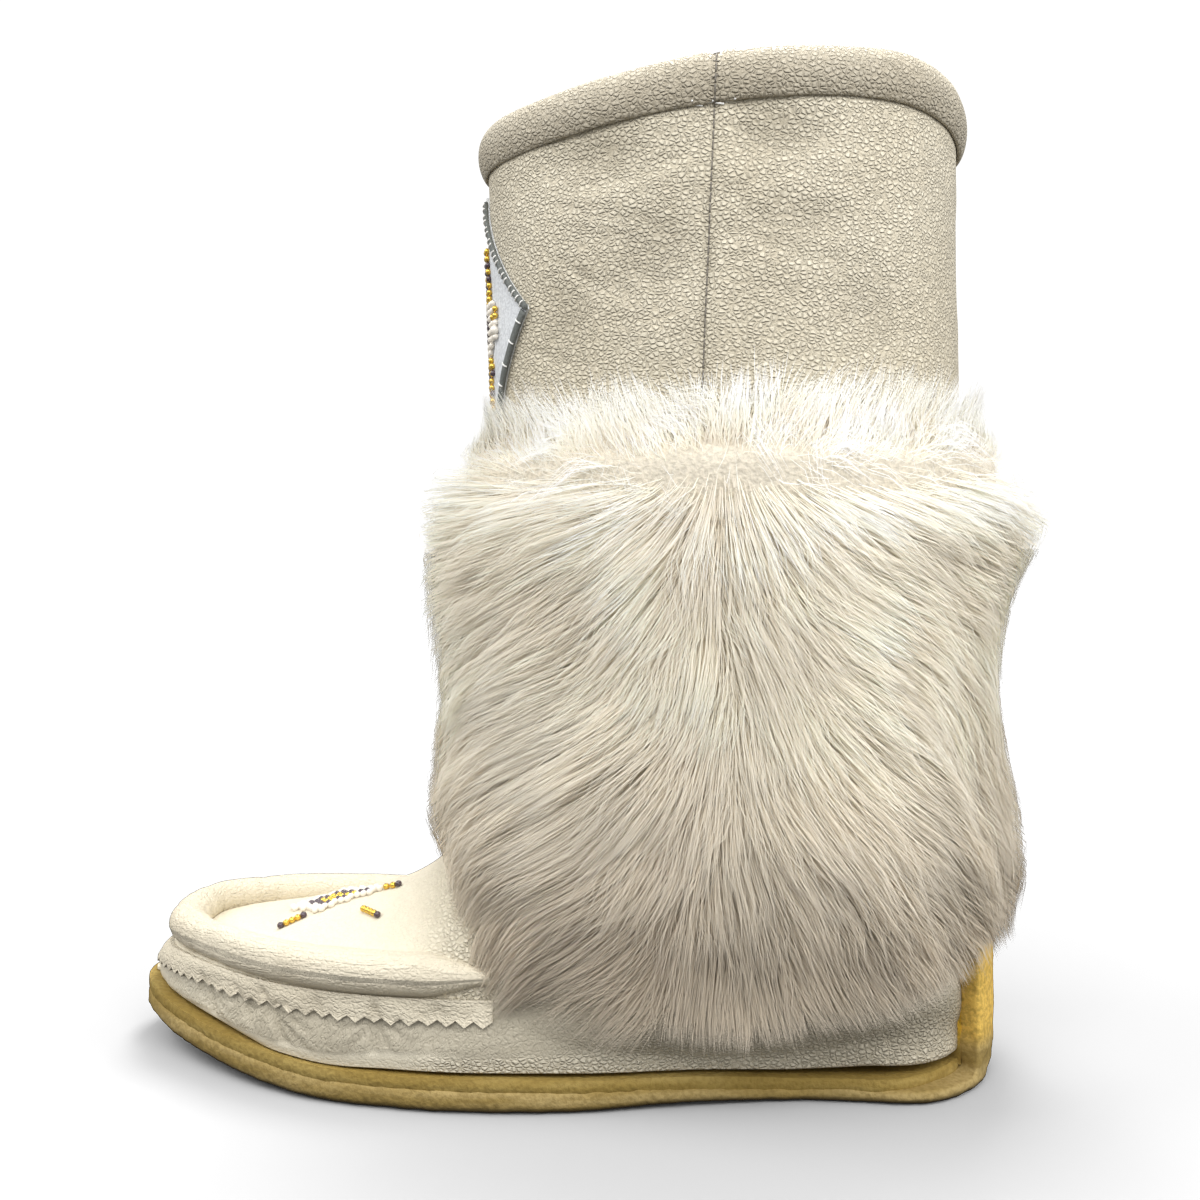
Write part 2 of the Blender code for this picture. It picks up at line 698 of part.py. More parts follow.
def rim_path(skin, steps, height_of):
    """Points on the foot's wall, from under the fur on the outer side round the toe to the inner side, with
    their outward directions. height_of takes (along) and gives the height."""
    side_end, toe_from = 0.565, 0.865
    toe_centre, toe_half = outline(toe_from)
    turn_x = sole_x(toe_from)
    straight = (toe_from - side_end) * SOLE_LENGTH
    total = 2 * straight + math.pi * toe_half
    found = []
    for i in range(steps + 1):
        reach = total * i / steps
        if reach < straight or reach > total - straight:
            side = -1 if reach < straight else 1
            run = reach if side < 0 else total - reach
            along = side_end + run / SOLE_LENGTH
            origin = (sole_x(along), outline(along)[0])
            out = Vector((0.0, side, 0.0))
        else:
            angle = (reach - straight) / toe_half
            out = Vector((-math.sin(angle), -math.cos(angle), 0.0))
            origin = (turn_x, toe_centre)
            along = toe_from + (1 - toe_from) * math.sin(angle)
        height = height_of(along)
        point, normal = skin.hit((origin[0], origin[1], height), out)
        found.append((point, out, normal, reach))
    return found


def rim_height(along):
    """The height of the middle of the vamp's roll."""
    return RIM_HEIGHT * (1.0 + 0.025 * ease((along - 0.75) / 0.2))


def make_vamp_roll(skin):
    """The soft roll round the plug, laid in the corner between wall and plug."""
    sides = 7
    crease = rim_path(skin, STRIP_STEPS, lambda along: rim_height(along) - VAMP_ROLL_RADIUS * 0.8)
    rings = []
    for i, (point, out, _, _) in enumerate(crease):
        end = min(i, STRIP_STEPS - i) / STRIP_STEPS
        radius = VAMP_ROLL_RADIUS * (0.35 + 0.65 * ease(end * 14))
        middle = point - out * (radius * 0.25) + Vector((0.0, 0.0, VAMP_ROLL_RADIUS * 0.8))
        ring = []
        for j in range(sides):
            angle = 2 * math.pi * j / sides
            ring.append(middle + out * (radius * math.cos(angle)) + Vector((0.0, 0.0, radius * math.sin(angle))))
        rings.append(ring)
    mesh = outward(mesh_of("vamp_roll", *loft(rings)))
    obj = new_object("vamp_roll", mesh, TRIM)
    cut_by_upper(obj)
    return obj


def cut_by(obj, name, mesh):
    """Takes a closed mesh out of an object."""
    cutter = bpy.data.objects.new("cutter_" + name, mesh)
    bpy.context.scene.collection.objects.link(cutter)
    cutter.hide_render = True
    cutter.display_type = "WIRE"
    cut = obj.modifiers.new(name, "BOOLEAN")
    cut.operation = "DIFFERENCE"
    cut.object = cutter


def cut_by_upper(obj, grow=GAP):
    """Takes the upper's form, grown by a distance, out of an object."""
    shape = upper_form(grow)
    mesh = bpy.data.meshes.new("upper_form")
    shape.to_mesh(mesh)
    shape.free()
    cut_by(obj, obj.name + "_seat", mesh)


def make_pinked_band(skin):
    """The flat band under the roll, its lower edge pinked into teeth."""
    def middle(along):
        return rim_height(along) - VAMP_ROLL_RADIUS - 0.5 * BAND_HEIGHT

    span = rim_path(skin, 1, middle)[-1][3]
    teeth = round(span / TOOTH_PITCH)
    steps = 2 * teeth
    top_line = rim_path(skin, steps, lambda along: rim_height(along) - VAMP_ROLL_RADIUS - GAP)
    rings = []
    for i, (top, out, _, _) in enumerate(top_line):
        drop = BAND_HEIGHT - (TOOTH_DEPTH if i % 2 else 0.0)
        inside = top - out * BALL_WIDTH / 4
        low, _ = skin.hit((inside.x, inside.y, top.z - drop), out)
        lift, sink = out * BAND_THICK, out * BAND_THICK
        rings.append([top - sink, low - sink, low + lift, top + lift])
    mesh = outward(mesh_of("pinked_band", *loft(rings)))
    band = new_object("pinked_band", mesh, TRIM)
    cut_by_upper(band)
    return band


def make_front_panel(skin):
    """The pointed panel on the front of the shaft, cut off square under the fur."""
    rows, columns = 10, 8
    rings = []
    for i in range(rows + 1):
        height = PANEL_BOTTOM + (PANEL_TOP - PANEL_BOTTOM) * i / rows
        if i == rows // 2:
            height = PANEL_WAIST
        if height > PANEL_WAIST:
            half = PANEL_HALF_WIDTH * (1 - 0.93 * (height - PANEL_WAIST) / (PANEL_TOP - PANEL_WAIST))
        else:
            half = PANEL_HALF_WIDTH * (1 - 0.55 * (PANEL_WAIST - height) / (PANEL_WAIST - PANEL_BOTTOM))
        inner, outer = [], []
        for j in range(columns + 1):
            y = half * (2 * j / columns - 1)
            point, normal = skin.hit((SHAFT_CENTRE, y, height), (-1.0, 0.0, 0.0))
            flat = Vector((normal.x, normal.y, 0.0)).normalized()
            inner.append(point - flat * PANEL_THICK)
            outer.append(point + flat * PANEL_THICK)
        rings.append(inner + outer[::-1])
    mesh = outward(mesh_of("front_panel", *loft(rings)))
    panel = new_object("front_panel", mesh, SUEDE)
    cut_by_upper(panel)
    return panel


def fur_shares(angle):
    """How much of the front, side and back columns counts in a direction, and the hem's height there."""
    back = max(math.cos(angle), 0.0) ** 2
    front = max(-math.cos(angle), 0.0) ** 2
    side = 1 - back - front
    hem = FUR_TOP * (FUR_HEM_FRONT * front + FUR_HEM_SIDE * side + FUR_HEM_BACK * back)
    return front, side, back, hem


def fur_point(skin, angle, height, lift):
    """A point of the fur at a height round the leg. lift is added to the depth that the table gives."""
    front, side, back, hem = fur_shares(angle)
    down = min(max((FUR_TOP - height) / (FUR_TOP - hem), 0.0), 1.0)
    at_front, at_side, at_back = look_up(FUR_ROWS, down)
    base, _ = skin.round_leg(angle, height)
    out = Vector((math.cos(angle), -math.sin(angle), 0.0))
    depth = FUR_DEPTH * (at_front * front + at_side * side + at_back * back)
    return base + out * max(depth + lift, 2 * FUR_LEAST)


def make_fur_cuff(skin):
    """The fur: a hollow pelt round ankle and shaft in tiers, each of which ends in a row of pointed locks."""
    columns = 2 * LOCKS_ROUND
    rings = []
    for i in range(columns):
        angle = 2 * math.pi * i / columns
        front, side, back, hem = fur_shares(angle)
        length = FUR_TOP - hem
        ring = []
        crown = LOCK_RISE if i % 2 else -0.35 * LOCK_RISE
        ring.append(fur_point(skin, angle, FUR_TOP + crown, 0.2 * LOCK_TUCK))
        for tier, start in enumerate(LOCK_TIERS):
            end = LOCK_TIERS[tier + 1] if tier + 1 < len(LOCK_TIERS) else 1.0
            tip = (i + tier) % 2 == 0
            top, bottom = FUR_TOP - length * start, FUR_TOP - length * end
            ridge = 0.22 * LOCK_TUCK if tip else -0.22 * LOCK_TUCK
            sway = LOCK_SWAY * math.sin(2 * angle) * 2 * math.pi / columns * (1 - 0.5 * end)
            if tier:
                ring.append(fur_point(skin, angle, top + 0.25 * LOCK_DROP, -LOCK_TUCK))
            ring.append(fur_point(skin, angle, top + (bottom - top) * 0.5, ridge))
            drop = LOCK_DROP if tip else -0.15 * LOCK_DROP
            lift = 0.10 * LOCK_TUCK if tip else -0.30 * LOCK_TUCK
            if tier + 1 == len(LOCK_TIERS):
                drop *= 0.8
            ring.append(fur_point(skin, angle + (sway if tip else 0.0), bottom - drop, lift))
        under = hem + 0.35 * LOCK_DROP
        for height in (under, under + (FUR_TOP - under) * 0.33, under + (FUR_TOP - under) * 0.66, FUR_TOP):
            base, _ = skin.round_leg(angle, height)
            out = Vector((math.cos(angle), -math.sin(angle), 0.0))
            ring.append(base - out * FUR_LEAST)
        rings.append(ring)
    mesh = outward(mesh_of("fur_cuff", *loft(rings, ring_closed=True)))
    cuff = new_object("fur_cuff", mesh, FUR)
    cut_by_upper(cuff)
    tab = heel_tab(
        "tab_room", lambda height: HEEL_WIDTH / 4, lambda height: HEEL_WIDTH / 2 + OVERLAY_GAP, 0.0, 2 * OVERLAY_GAP
    )
    cut_by(cuff, "fur_cuff_tab_room", tab)
    return cuff


def main():
    for obj in list(bpy.data.objects):
        bpy.data.objects.remove(obj)
    skin = Skin(OVERLAY_GAP)
    upper = make_upper()
    pieces = [
        make_outsole(),
        make_midsole(),
        upper,
        make_insole(upper),
        make_collar_roll(),
        make_vamp_roll(skin),
        make_pinked_band(skin),
        make_front_panel(skin),
        make_fur_cuff(skin),
    ]
    boot = bpy.data.objects.new("mukluk", None)
    bpy.context.scene.collection.objects.link(boot)
    for piece in pieces:
        piece.parent = boot


main()
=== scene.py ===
"""Looks for the left mukluk boot: white leather, beadwork, crepe sole and long fur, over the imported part.

Metres, +Z up. The toe points along -X and the outer side faces -Y. The leather is lofted again from the
part's own sections, finer and with its creases, and every overlay lies on that surface.
"""
import math

import bpy
import numpy as np
from mathutils import Matrix, Vector
from mathutils.bvhtree import BVHTree
from mathutils.kdtree import KDTree


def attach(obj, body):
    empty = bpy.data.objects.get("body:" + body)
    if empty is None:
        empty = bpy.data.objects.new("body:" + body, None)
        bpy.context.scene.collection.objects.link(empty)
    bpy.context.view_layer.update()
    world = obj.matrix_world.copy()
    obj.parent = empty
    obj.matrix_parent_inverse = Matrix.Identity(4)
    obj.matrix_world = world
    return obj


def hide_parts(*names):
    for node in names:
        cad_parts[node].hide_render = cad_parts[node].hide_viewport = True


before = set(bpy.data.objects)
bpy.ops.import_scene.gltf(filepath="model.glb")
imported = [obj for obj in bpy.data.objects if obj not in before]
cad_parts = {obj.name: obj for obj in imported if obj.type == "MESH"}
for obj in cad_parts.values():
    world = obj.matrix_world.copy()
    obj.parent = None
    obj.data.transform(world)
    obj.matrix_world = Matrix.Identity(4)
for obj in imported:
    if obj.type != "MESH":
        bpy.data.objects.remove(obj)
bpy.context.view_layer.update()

# Foot and leg, as in the part
SOLE_LENGTH = 0.265
BALL_WIDTH = 0.096
HEEL_WIDTH = 0.070
HEEL_BACK = 0.052
TOE_SPRING = 0.0099
ARCH_LIFT = 0.0010
INSTEP_HEIGHT = 0.053
RIM_HEIGHT = 0.0375
COLLAR_FRONT_HEIGHT = 0.2763
COLLAR_BACK_HEIGHT = 0.2781
COLLAR_ARCH = 0.0061
SHAFT_LENGTH = 0.1364
SHAFT_WIDTH = 0.104
SHAFT_LEAN = 0.0019
THROAT_LEAN = 0.0035
THROAT_ALONG = 0.6566
OUTSOLE_FORE = 0.0070
OUTSOLE_REAR = 0.0042
OUTSOLE_HEEL = 0.0060
MIDSOLE_THICK = 0.0027
MIDSOLE_HEEL = 0.0031
MIDSOLE_INSET = 0.0011
HEEL_TAB_WIDTH = 0.039
HEEL_TAB_HEIGHT = 0.057
HEEL_TURN = 0.006
HEEL_TUCK = 0.003
UPPER_WALL = 0.0025
COLLAR_ROLL_HEIGHT = 0.0125
COLLAR_ROLL_DEPTH = 0.0022
COLLAR_FACING = 0.0012
VAMP_ROLL_RADIUS = 0.0057
BAND_THICK = 0.0012
BAND_HEIGHT = 0.0073
TOOTH_PITCH = 0.0052
TOOTH_DEPTH = 0.0017
PANEL_THICK = 0.0011
PANEL_HALF_WIDTH = 0.030
PANEL_DROP = 0.0153
PANEL_POINT = 0.038
PANEL_CLEAR = 0.0035
FUR_DEPTH = 0.0135
FUR_TOP = 0.1895
FUR_HEM_FRONT = 0.360
FUR_HEM_SIDE = 0.200
FUR_HEM_BACK = 0.268
GAP = 0.0003
OVERLAY_GAP = 0.0005
HEEL_LEATHER = HEEL_BACK - OUTSOLE_HEEL - MIDSOLE_HEEL - 2 * GAP
HEEL_MIDDLE = HEEL_BACK - HEEL_WIDTH / 2
SHAFT_BACK = HEEL_LEATHER - SHAFT_LEAN
SHAFT_CENTRE = SHAFT_BACK - SHAFT_LENGTH / 2
SHAFT_FRONT = SHAFT_BACK - SHAFT_LENGTH
PANEL_TOP = COLLAR_FRONT_HEIGHT - PANEL_DROP
PANEL_WAIST = PANEL_TOP - PANEL_POINT
PANEL_BOTTOM = FUR_TOP + PANEL_CLEAR

# Resolution
RING_POINTS = 224
ROW_STEP = 0.0018
VAMP_STEP = 0.0010

OUTLINE = (
    # along, heel, ball, centre
    (0.006, 0.04, 0.00, 0.000),
    (0.010, 0.28, 0.00, 0.000),
    (0.019, 0.50, 0.00, 0.000),
    (0.036, 0.71, 0.00, 0.000),
    (0.053, 0.84, 0.00, -0.003),
    (0.072, 0.935, 0.00, -0.007),
    (0.098, 1.00, 0.00, -0.012),
    (0.151, 0.97, 0.00, -0.021),
    (0.200, 0.88, 0.04, -0.031),
    (0.253, 0.72, 0.16, -0.044),
    (0.306, 0.54, 0.325, -0.058),
    (0.358, 0.36, 0.50, -0.069),
    (0.408, 0.22, 0.665, -0.069),
    (0.460, 0.11, 0.805, -0.063),
    (0.513, 0.04, 0.905, -0.054),
    (0.562, 0.00, 0.965, -0.046),
    (0.615, 0.00, 0.978, -0.034),
    (0.672, 0.00, 0.975, -0.015),
    (0.728, 0.00, 0.958, 0.006),
    (0.796, 0.00, 0.890, 0.041),
    (0.830, 0.00, 0.834, 0.059),
    (0.868, 0.00, 0.752, 0.080),
    (0.902, 0.00, 0.660, 0.098),
    (0.940, 0.00, 0.530, 0.115),
    (0.970, 0.00, 0.385, 0.124),
    (0.987, 0.00, 0.262, 0.127),
    (0.996, 0.00, 0.150, 0.127),
    (1.000, 0.00, 0.040, 0.127),
)

VAMP_SECTIONS = (
    # along, rim, dome, width, square
    (0.9870, 0.56, 0.00, 0.40, 2.4),
    (0.9780, 0.72, 0.00, 0.62, 3.0),
    (0.9640, 0.83, 0.02, 0.76, 3.6),
    (0.9400, 0.89, 0.07, 0.86, 4.4),
    (0.9020, 0.92, 0.15, 0.905, 5.0),
    (0.8680, 0.93, 0.24, 0.922, 5.0),
    (0.8220, 0.94, 0.37, 0.935, 5.0),
    (0.7680, 0.96, 0.58, 0.940, 5.0),
    (0.7150, 0.98, 0.80, 0.944, 5.0),
)

LEG_SECTIONS = (
    # run, front, flare, width, low, top, dome
    (0.000, 0.000, 1.00, 0.868, 5.0, 4.2, 0.30),
    (0.041, 0.031, 0.64, 0.866, 5.0, 3.2, 0.30),
    (0.092, 0.080, 0.33, 0.850, 4.8, 2.7, 0.20),
    (0.146, 0.145, 0.14, 0.835, 4.4, 2.4, 0.10),
    (0.206, 0.215, 0.05, 0.830, 3.9, 2.2, 0.04),
    (0.261, 0.280, 0.01, 0.835, 3.5, 2.1, 0.00),
    (0.311, 0.340, 0.00, 0.850, 3.0, 2.0, 0.00),
    (0.350, 0.398, 0.00, 0.870, 2.6, 2.0, 0.00),
    (0.391, 0.452, 0.00, 0.890, 2.3, 2.0, 0.00),
    (0.446, 0.502, 0.00, 0.910, 2.15, 2.0, 0.00),
    (0.515, 0.556, 0.00, 0.930, 2.05, 2.0, 0.00),
    (0.597, 0.622, 0.00, 0.950, 2.0, 2.0, 0.00),
    (0.693, 0.700, 0.01, 0.970, 2.0, 2.0, 0.00),
    (0.808, 0.800, 0.02, 0.985, 2.0, 2.0, 0.00),
    (0.911, 0.902, 0.04, 0.995, 2.0, 2.0, 0.00),
    (1.000, 1.000, 0.06, 1.000, 2.0, 2.0, 0.00),
)

COLLAR_CREST = (
    # back, rise
    (0.00, 0.00),
    (0.07, 0.01),
    (0.15, 0.10),
    (0.27, 0.35),
    (0.48, 0.77),
    (0.65, 0.91),
    (0.78, 0.98),
    (0.84, 1.00),
    (0.90, 0.88),
    (0.95, 0.63),
    (0.98, 0.33),
    (1.00, 0.00),
)

FUR_ROWS = (
    # down, front, side, back
    (0.00, 0.45, 0.40, 0.75),
    (0.06, 1.42, 0.85, 1.60),
    (0.16, 1.68, 1.00, 1.72),
    (0.32, 1.62, 1.05, 1.18),
    (0.50, 1.55, 1.10, 0.80),
    (0.70, 1.42, 1.20, 0.95),
    (0.86, 1.20, 1.20, 1.18),
    (0.95, 0.75, 1.00, 1.18),
    (1.00, 0.30, 0.70, 1.08),
)


# Tables and noise

def ease(t):
    """0 to 1 with soft ends, for numbers and arrays."""
    t = np.clip(t, 0.0, 1.0)
    return t * t * (3 - 2 * t)


def bell(distance, width):
    """1 at no distance, falling to 1/e at width."""
    return np.exp(-((distance / width) ** 2))


def look_up(rows, key):
    """The row at a key, smoothly between the table's rows. A row's first column is its key."""
    if rows[0][0] > rows[-1][0]:
        rows = rows[::-1]
    key = min(max(key, rows[0][0]), rows[-1][0])
    i = max(j for j in range(len(rows) - 1) if rows[j][0] <= key)
    before, low, high, after = (rows[min(max(j, 0), len(rows) - 1)] for j in (i - 1, i, i + 1, i + 2))
    step = high[0] - low[0]
    t = (key - low[0]) / step
    found = []
    for column in range(1, len(low)):
        a, b = low[column], high[column]
        slope = (b - a) / step
        enter = tangent(a - before[column], low[0] - before[0], slope)
        leave = tangent(after[column] - b, after[0] - high[0], slope)
        found.append(
            a * (2 * t**3 - 3 * t**2 + 1)
            + b * (3 * t**2 - 2 * t**3)
            + step * (enter * (t**3 - 2 * t**2 + t) + leave * (t**3 - t**2))
        )
    return found


def tangent(rise, run, slope):
    """A slope at a table row that never makes the curve overshoot its neighbours."""
    if run <= 0 or rise * slope <= 0:
        return 0.0 if run > 0 else slope
    other = rise / run
    return 2 * other * slope / (other + slope)


def soft_noise(points, size, seed):
    """Smooth noise from -1 to 1 at points (n, 3), with lumps about as wide as size."""
    spot = points / size + 64.0
    cell = np.floor(spot).astype(np.int64)
    part = ease(spot - cell)
    total = np.zeros(len(points))
    for corner in range(8):
        step = np.array((corner & 1, corner >> 1 & 1, corner >> 2 & 1))
        key = cell + step
        mixed = key[:, 0] * 73856093 ^ key[:, 1] * 19349663 ^ key[:, 2] * 83492791 ^ (seed + 1) * 2971215073
        mixed = (mixed ^ mixed >> 13) * 1274126177
        value = (mixed >> 9 & 0xFFFF) / 32767.5 - 1
        total += value * np.prod(np.where(step, part, 1 - part), axis=1)
    return total


# The form

def sole_x(along):
    return HEEL_BACK - along * SOLE_LENGTH


def sole_along(x):
    return (HEEL_BACK - x) / SOLE_LENGTH


def outline(along):
    """(centre, half-width) of the sole at a place along it."""
    heel, ball, centre = look_up(OUTLINE, along)
    return centre * BALL_WIDTH, heel * HEEL_WIDTH / 2 + ball * BALL_WIDTH / 2


def floor_height(along):
    """The outsole's underside: flat at heel and ball, lifted at the arch and sprung at the toe."""
    spring_from, arch_from, arch_to = 0.70, 0.215, 0.47
    rise = 0.0
    if along > spring_from:
        rise = TOE_SPRING * ((along - spring_from) / (1 - spring_from)) ** 1.6
    if arch_from < along < arch_to:
        rise = ARCH_LIFT * math.sin(math.pi * (along - arch_from) / (arch_to - arch_from)) ** 2
    return rise


def outsole_thickness(along):
    return OUTSOLE_REAR + (OUTSOLE_FORE - OUTSOLE_REAR) * ease((along - 0.20) / 0.36)


def bed_height(along):
    """Top of the midsole, which the upper stands on."""
    return floor_height(along) + outsole_thickness(along) + GAP + MIDSOLE_THICK


def heel_line(height):
    """x of the leather's back on the middle line: a small arc at the bed, then upright."""
    up = height - bed_height(0.0)
    if up >= HEEL_TURN:
        return HEEL_LEATHER
    return HEEL_LEATHER - HEEL_TURN + math.sqrt(HEEL_TURN**2 - (HEEL_TURN - max(up, 0.0)) ** 2)


def resample(points, count):
    """The closed loop through points, as count points: about evenly spaced, but closer where points are."""
    even_share = 0.7
    loop = np.vstack((points, points[:1]))
    reach = np.concatenate(((0.0,), np.cumsum(np.linalg.norm(np.diff(loop, axis=0), axis=1))))
    reach = even_share * reach / reach[-1] + (1 - even_share) * np.linspace(0, 1, len(loop))
    goal = np.arange(count) / count
    return np.stack([np.interp(goal, reach, loop[:, axis]) for axis in range(3)], axis=1)


def section(low_end, high_end, half, low, top, dome, centre, crest_centre):
    """One closed section of the upper, in the plane of its two ends and the Y axis.

    low and top are superellipse powers, and dome is how much of its height is a soft crown."""
    steps, widest = 96, 0.42
    angle = -math.pi / 2 + 2 * math.pi * np.arange(4 * steps) / (4 * steps)
    up, side = np.sin(angle), np.cos(angle)
    power = np.where(up > 0, top, low)
    share = np.abs(up) ** (2 / power)
    y = np.copysign(np.abs(side) ** (2 / power), side)
    rise = np.where(up > 0, widest + (1 - dome - widest) * share + dome * (1 - y * y), widest * (1 - share))
    point = low_end + np.outer(rise, high_end - low_end)
    point[:, 1] = centre + (crest_centre - centre) * rise - y * half
    return resample(point, RING_POINTS)


def arched(ring, arch):
    """A leg section with its sides lifted by up to arch, as the collar's crest is."""
    share = (ring[:, 0] - ring[:, 0].min()) / np.ptp(ring[:, 0])
    lifted = ring.copy()
    lifted[:, 2] += arch * np.array([look_up(COLLAR_CREST, value)[0] for value in share])
    return lifted


def leg_line(run):
    """The lower end of a leg section: along the bed from the throat, round the heel and up to the collar."""
    throat = sole_x(THROAT_ALONG)
    base = bed_height(0.0)
    flat_length = HEEL_LEATHER - HEEL_TURN - throat
    turn_length = HEEL_TURN * math.pi / 2
    total = flat_length + turn_length + COLLAR_BACK_HEIGHT - base - HEEL_TURN
    reach = run * total
    if reach <= flat_length:
        x = throat + reach
        return np.array((x, 0.0, bed_height(sole_along(x)) + GAP))
    reach -= flat_length
    if reach <= turn_length:
        height = base + HEEL_TURN * (1 - math.cos(reach / HEEL_TURN))
        return np.array((heel_line(height) - GAP, 0.0, height + GAP))
    height = base + HEEL_TURN + reach - turn_length
    lean = ease((height - HEEL_TAB_HEIGHT) / (COLLAR_BACK_HEIGHT - HEEL_TAB_HEIGHT))
    return np.array((HEEL_LEATHER - GAP + (SHAFT_BACK - HEEL_LEATHER + GAP) * lean, 0.0, height))


def upper_rings():
    """The part's own sections of the upper's outside, toe to collar."""
    rings = []
    for along, rim, dome, width, square in VAMP_SECTIONS:
        centre, half = outline(along)
        x, base = sole_x(along), bed_height(along) + GAP
        crest = RIM_HEIGHT * rim + (INSTEP_HEIGHT - RIM_HEIGHT) * dome
        crown = (INSTEP_HEIGHT - RIM_HEIGHT) * dome / (crest - base)
        low_end, high_end = np.array((x, 0.0, base)), np.array((x, 0.0, crest))
        rings.append(section(low_end, high_end, half * width, square + 2, square, crown, centre, centre))
    throat = sole_x(THROAT_ALONG) - THROAT_LEAN
    for run, front, flare, width, low, top, dome in LEG_SECTIONS:
        low_end = leg_line(run)
        high_end = np.array((
            SHAFT_FRONT + (throat - SHAFT_FRONT) * flare,
            0.0,
            INSTEP_HEIGHT + (COLLAR_FRONT_HEIGHT - INSTEP_HEIGHT) * front,
        ))
        centre = outline(sole_along(low_end[0]))[0] * (1 - ease((run - 0.2) / 0.2))
        ring = section(low_end, high_end, width * SHAFT_WIDTH / 2, low, top, dome, centre, 0.0)
        rings.append(arched(ring, COLLAR_ARCH * ease((run - 0.55) / 0.45)))
    return np.array(rings)


def smooth_rows(rings):
    """Rings between rings, on smooth curves through them, closer together in the vamp than in the leg."""
    gaps = np.linalg.norm(np.diff(rings, axis=0), axis=2).mean(axis=1)
    slopes = np.diff(rings, axis=0) / gaps[:, None, None]
    turn = np.empty_like(rings)
    turn[0], turn[-1] = slopes[0], slopes[-1]
    before, after = gaps[:-1, None, None], gaps[1:, None, None]
    turn[1:-1] = (slopes[:-1] * after + slopes[1:] * before) / (before + after)
    rows = []
    for i, gap in enumerate(gaps):
        step = VAMP_STEP if i < len(VAMP_SECTIONS) + 1 else ROW_STEP
        count = max(2, round(gap / step))
        for t in np.arange(count) / count:
            rows.append(
                rings[i] * (2 * t**3 - 3 * t**2 + 1) + rings[i + 1] * (3 * t**2 - 2 * t**3)
                + gap * (turn[i] * (t**3 - 2 * t**2 + t) + turn[i + 1] * (t**3 - t**2))
            )
    rows.append(rings[-1])
    return np.array(rows)


def grid_normals(rows):
    """Outward unit normals of a tube given as rows of closed rings."""
    around = np.roll(rows, -1, axis=1) - np.roll(rows, 1, axis=1)
    down = np.gradient(rows, axis=0)
    normal = np.cross(around, down)
    normal /= np.maximum(np.linalg.norm(normal, axis=2, keepdims=True), 1e-12)
    outward = rows - rows.mean(axis=1, keepdims=True)
    if (normal * outward).sum() < 0:
        normal = -normal
    return normal


def toe_cap(ring):
    """Rings that round off the toe in front of the first one."""
    bulge, steps = 0.0022, 7
    middle = ring.mean(axis=0)
    forward = np.array((-bulge, 0.0, 0.0))
    turns = [math.radians(86) * (1 - i / steps) for i in range(steps)]
    return np.array([middle + (ring - middle) * math.cos(a) + forward * math.sin(a) for a in turns])


def filled_foot(points):
    """The points, with the foot of the leather's wall moved out to stand over the edge of the sole."""
    moved = points.copy()
    back, side, power = HEEL_LEATHER - HEEL_MIDDLE, HEEL_WIDTH / 2 - MIDSOLE_INSET, 2.15
    for i, (x, y, z) in enumerate(points):
        along = sole_along(x)
        up = z - bed_height(along) - GAP
        weight = (1 - ease((up - 0.008) / 0.016)) * ease((x + 0.190) / 0.035)
        if weight <= 0:
            continue
        if x > HEEL_MIDDLE:
            reach = ((abs(x - HEEL_MIDDLE) / back) ** power + (abs(y) / side) ** power) ** (1 / power)
            if 0.3 < reach < 1:
                push = (1 / reach - 1) * weight * ease((reach - 0.40) / 0.35)
                moved[i, 0] += (x - HEEL_MIDDLE) * push
                moved[i, 1] += y * push
            continue
        centre, half = outline(along)
        edge = half - MIDSOLE_INSET - 0.0010 + 0.0008 * math.sin(math.pi * min(max(up, 0.0) / 0.016, 1.0))
        off = abs(y - centre)
        weight *= ease((off / edge - 0.40) / 0.35)
        if off < edge:
            moved[i, 1] = centre + math.copysign(off + (edge - off) * weight, y - centre)
    return moved


def wall_place(points):
    """How far along the foot's edge each point is from the tip of the toe, plus on the outer side."""
    toe_from = 0.865
    centre, half = outline(toe_from)
    turn_x = sole_x(toe_from)
    x, y = points[:, 0], points[:, 1] - centre
    angle = np.arctan2(-y, np.maximum(turn_x - x, 1e-9))
    straight = np.where(y < 0, 1.0, -1.0) * (math.pi / 2 * half + (x - turn_x))
    return np.where(x < turn_x, angle * half, straight)


# Gathers in the wall under the pinked edge, on the outer side
GATHERS = (
    # x, z, slant, length, depth
    (-0.1250, 0.0235, 0.00, 0.010, 1.0),
    (-0.1590, 0.0240, 0.55, 0.011, 1.0),
    (-0.1690, 0.0240, 0.60, 0.008, 0.5),
    (-0.1830, 0.0225, 0.45, 0.008, 0.6),
    (-0.1420, 0.0240, 0.20, 0.007, 0.4),
    (-0.1070, 0.0245, -0.15, 0.009, 0.6),
)
WALL_TOP = 0.0262

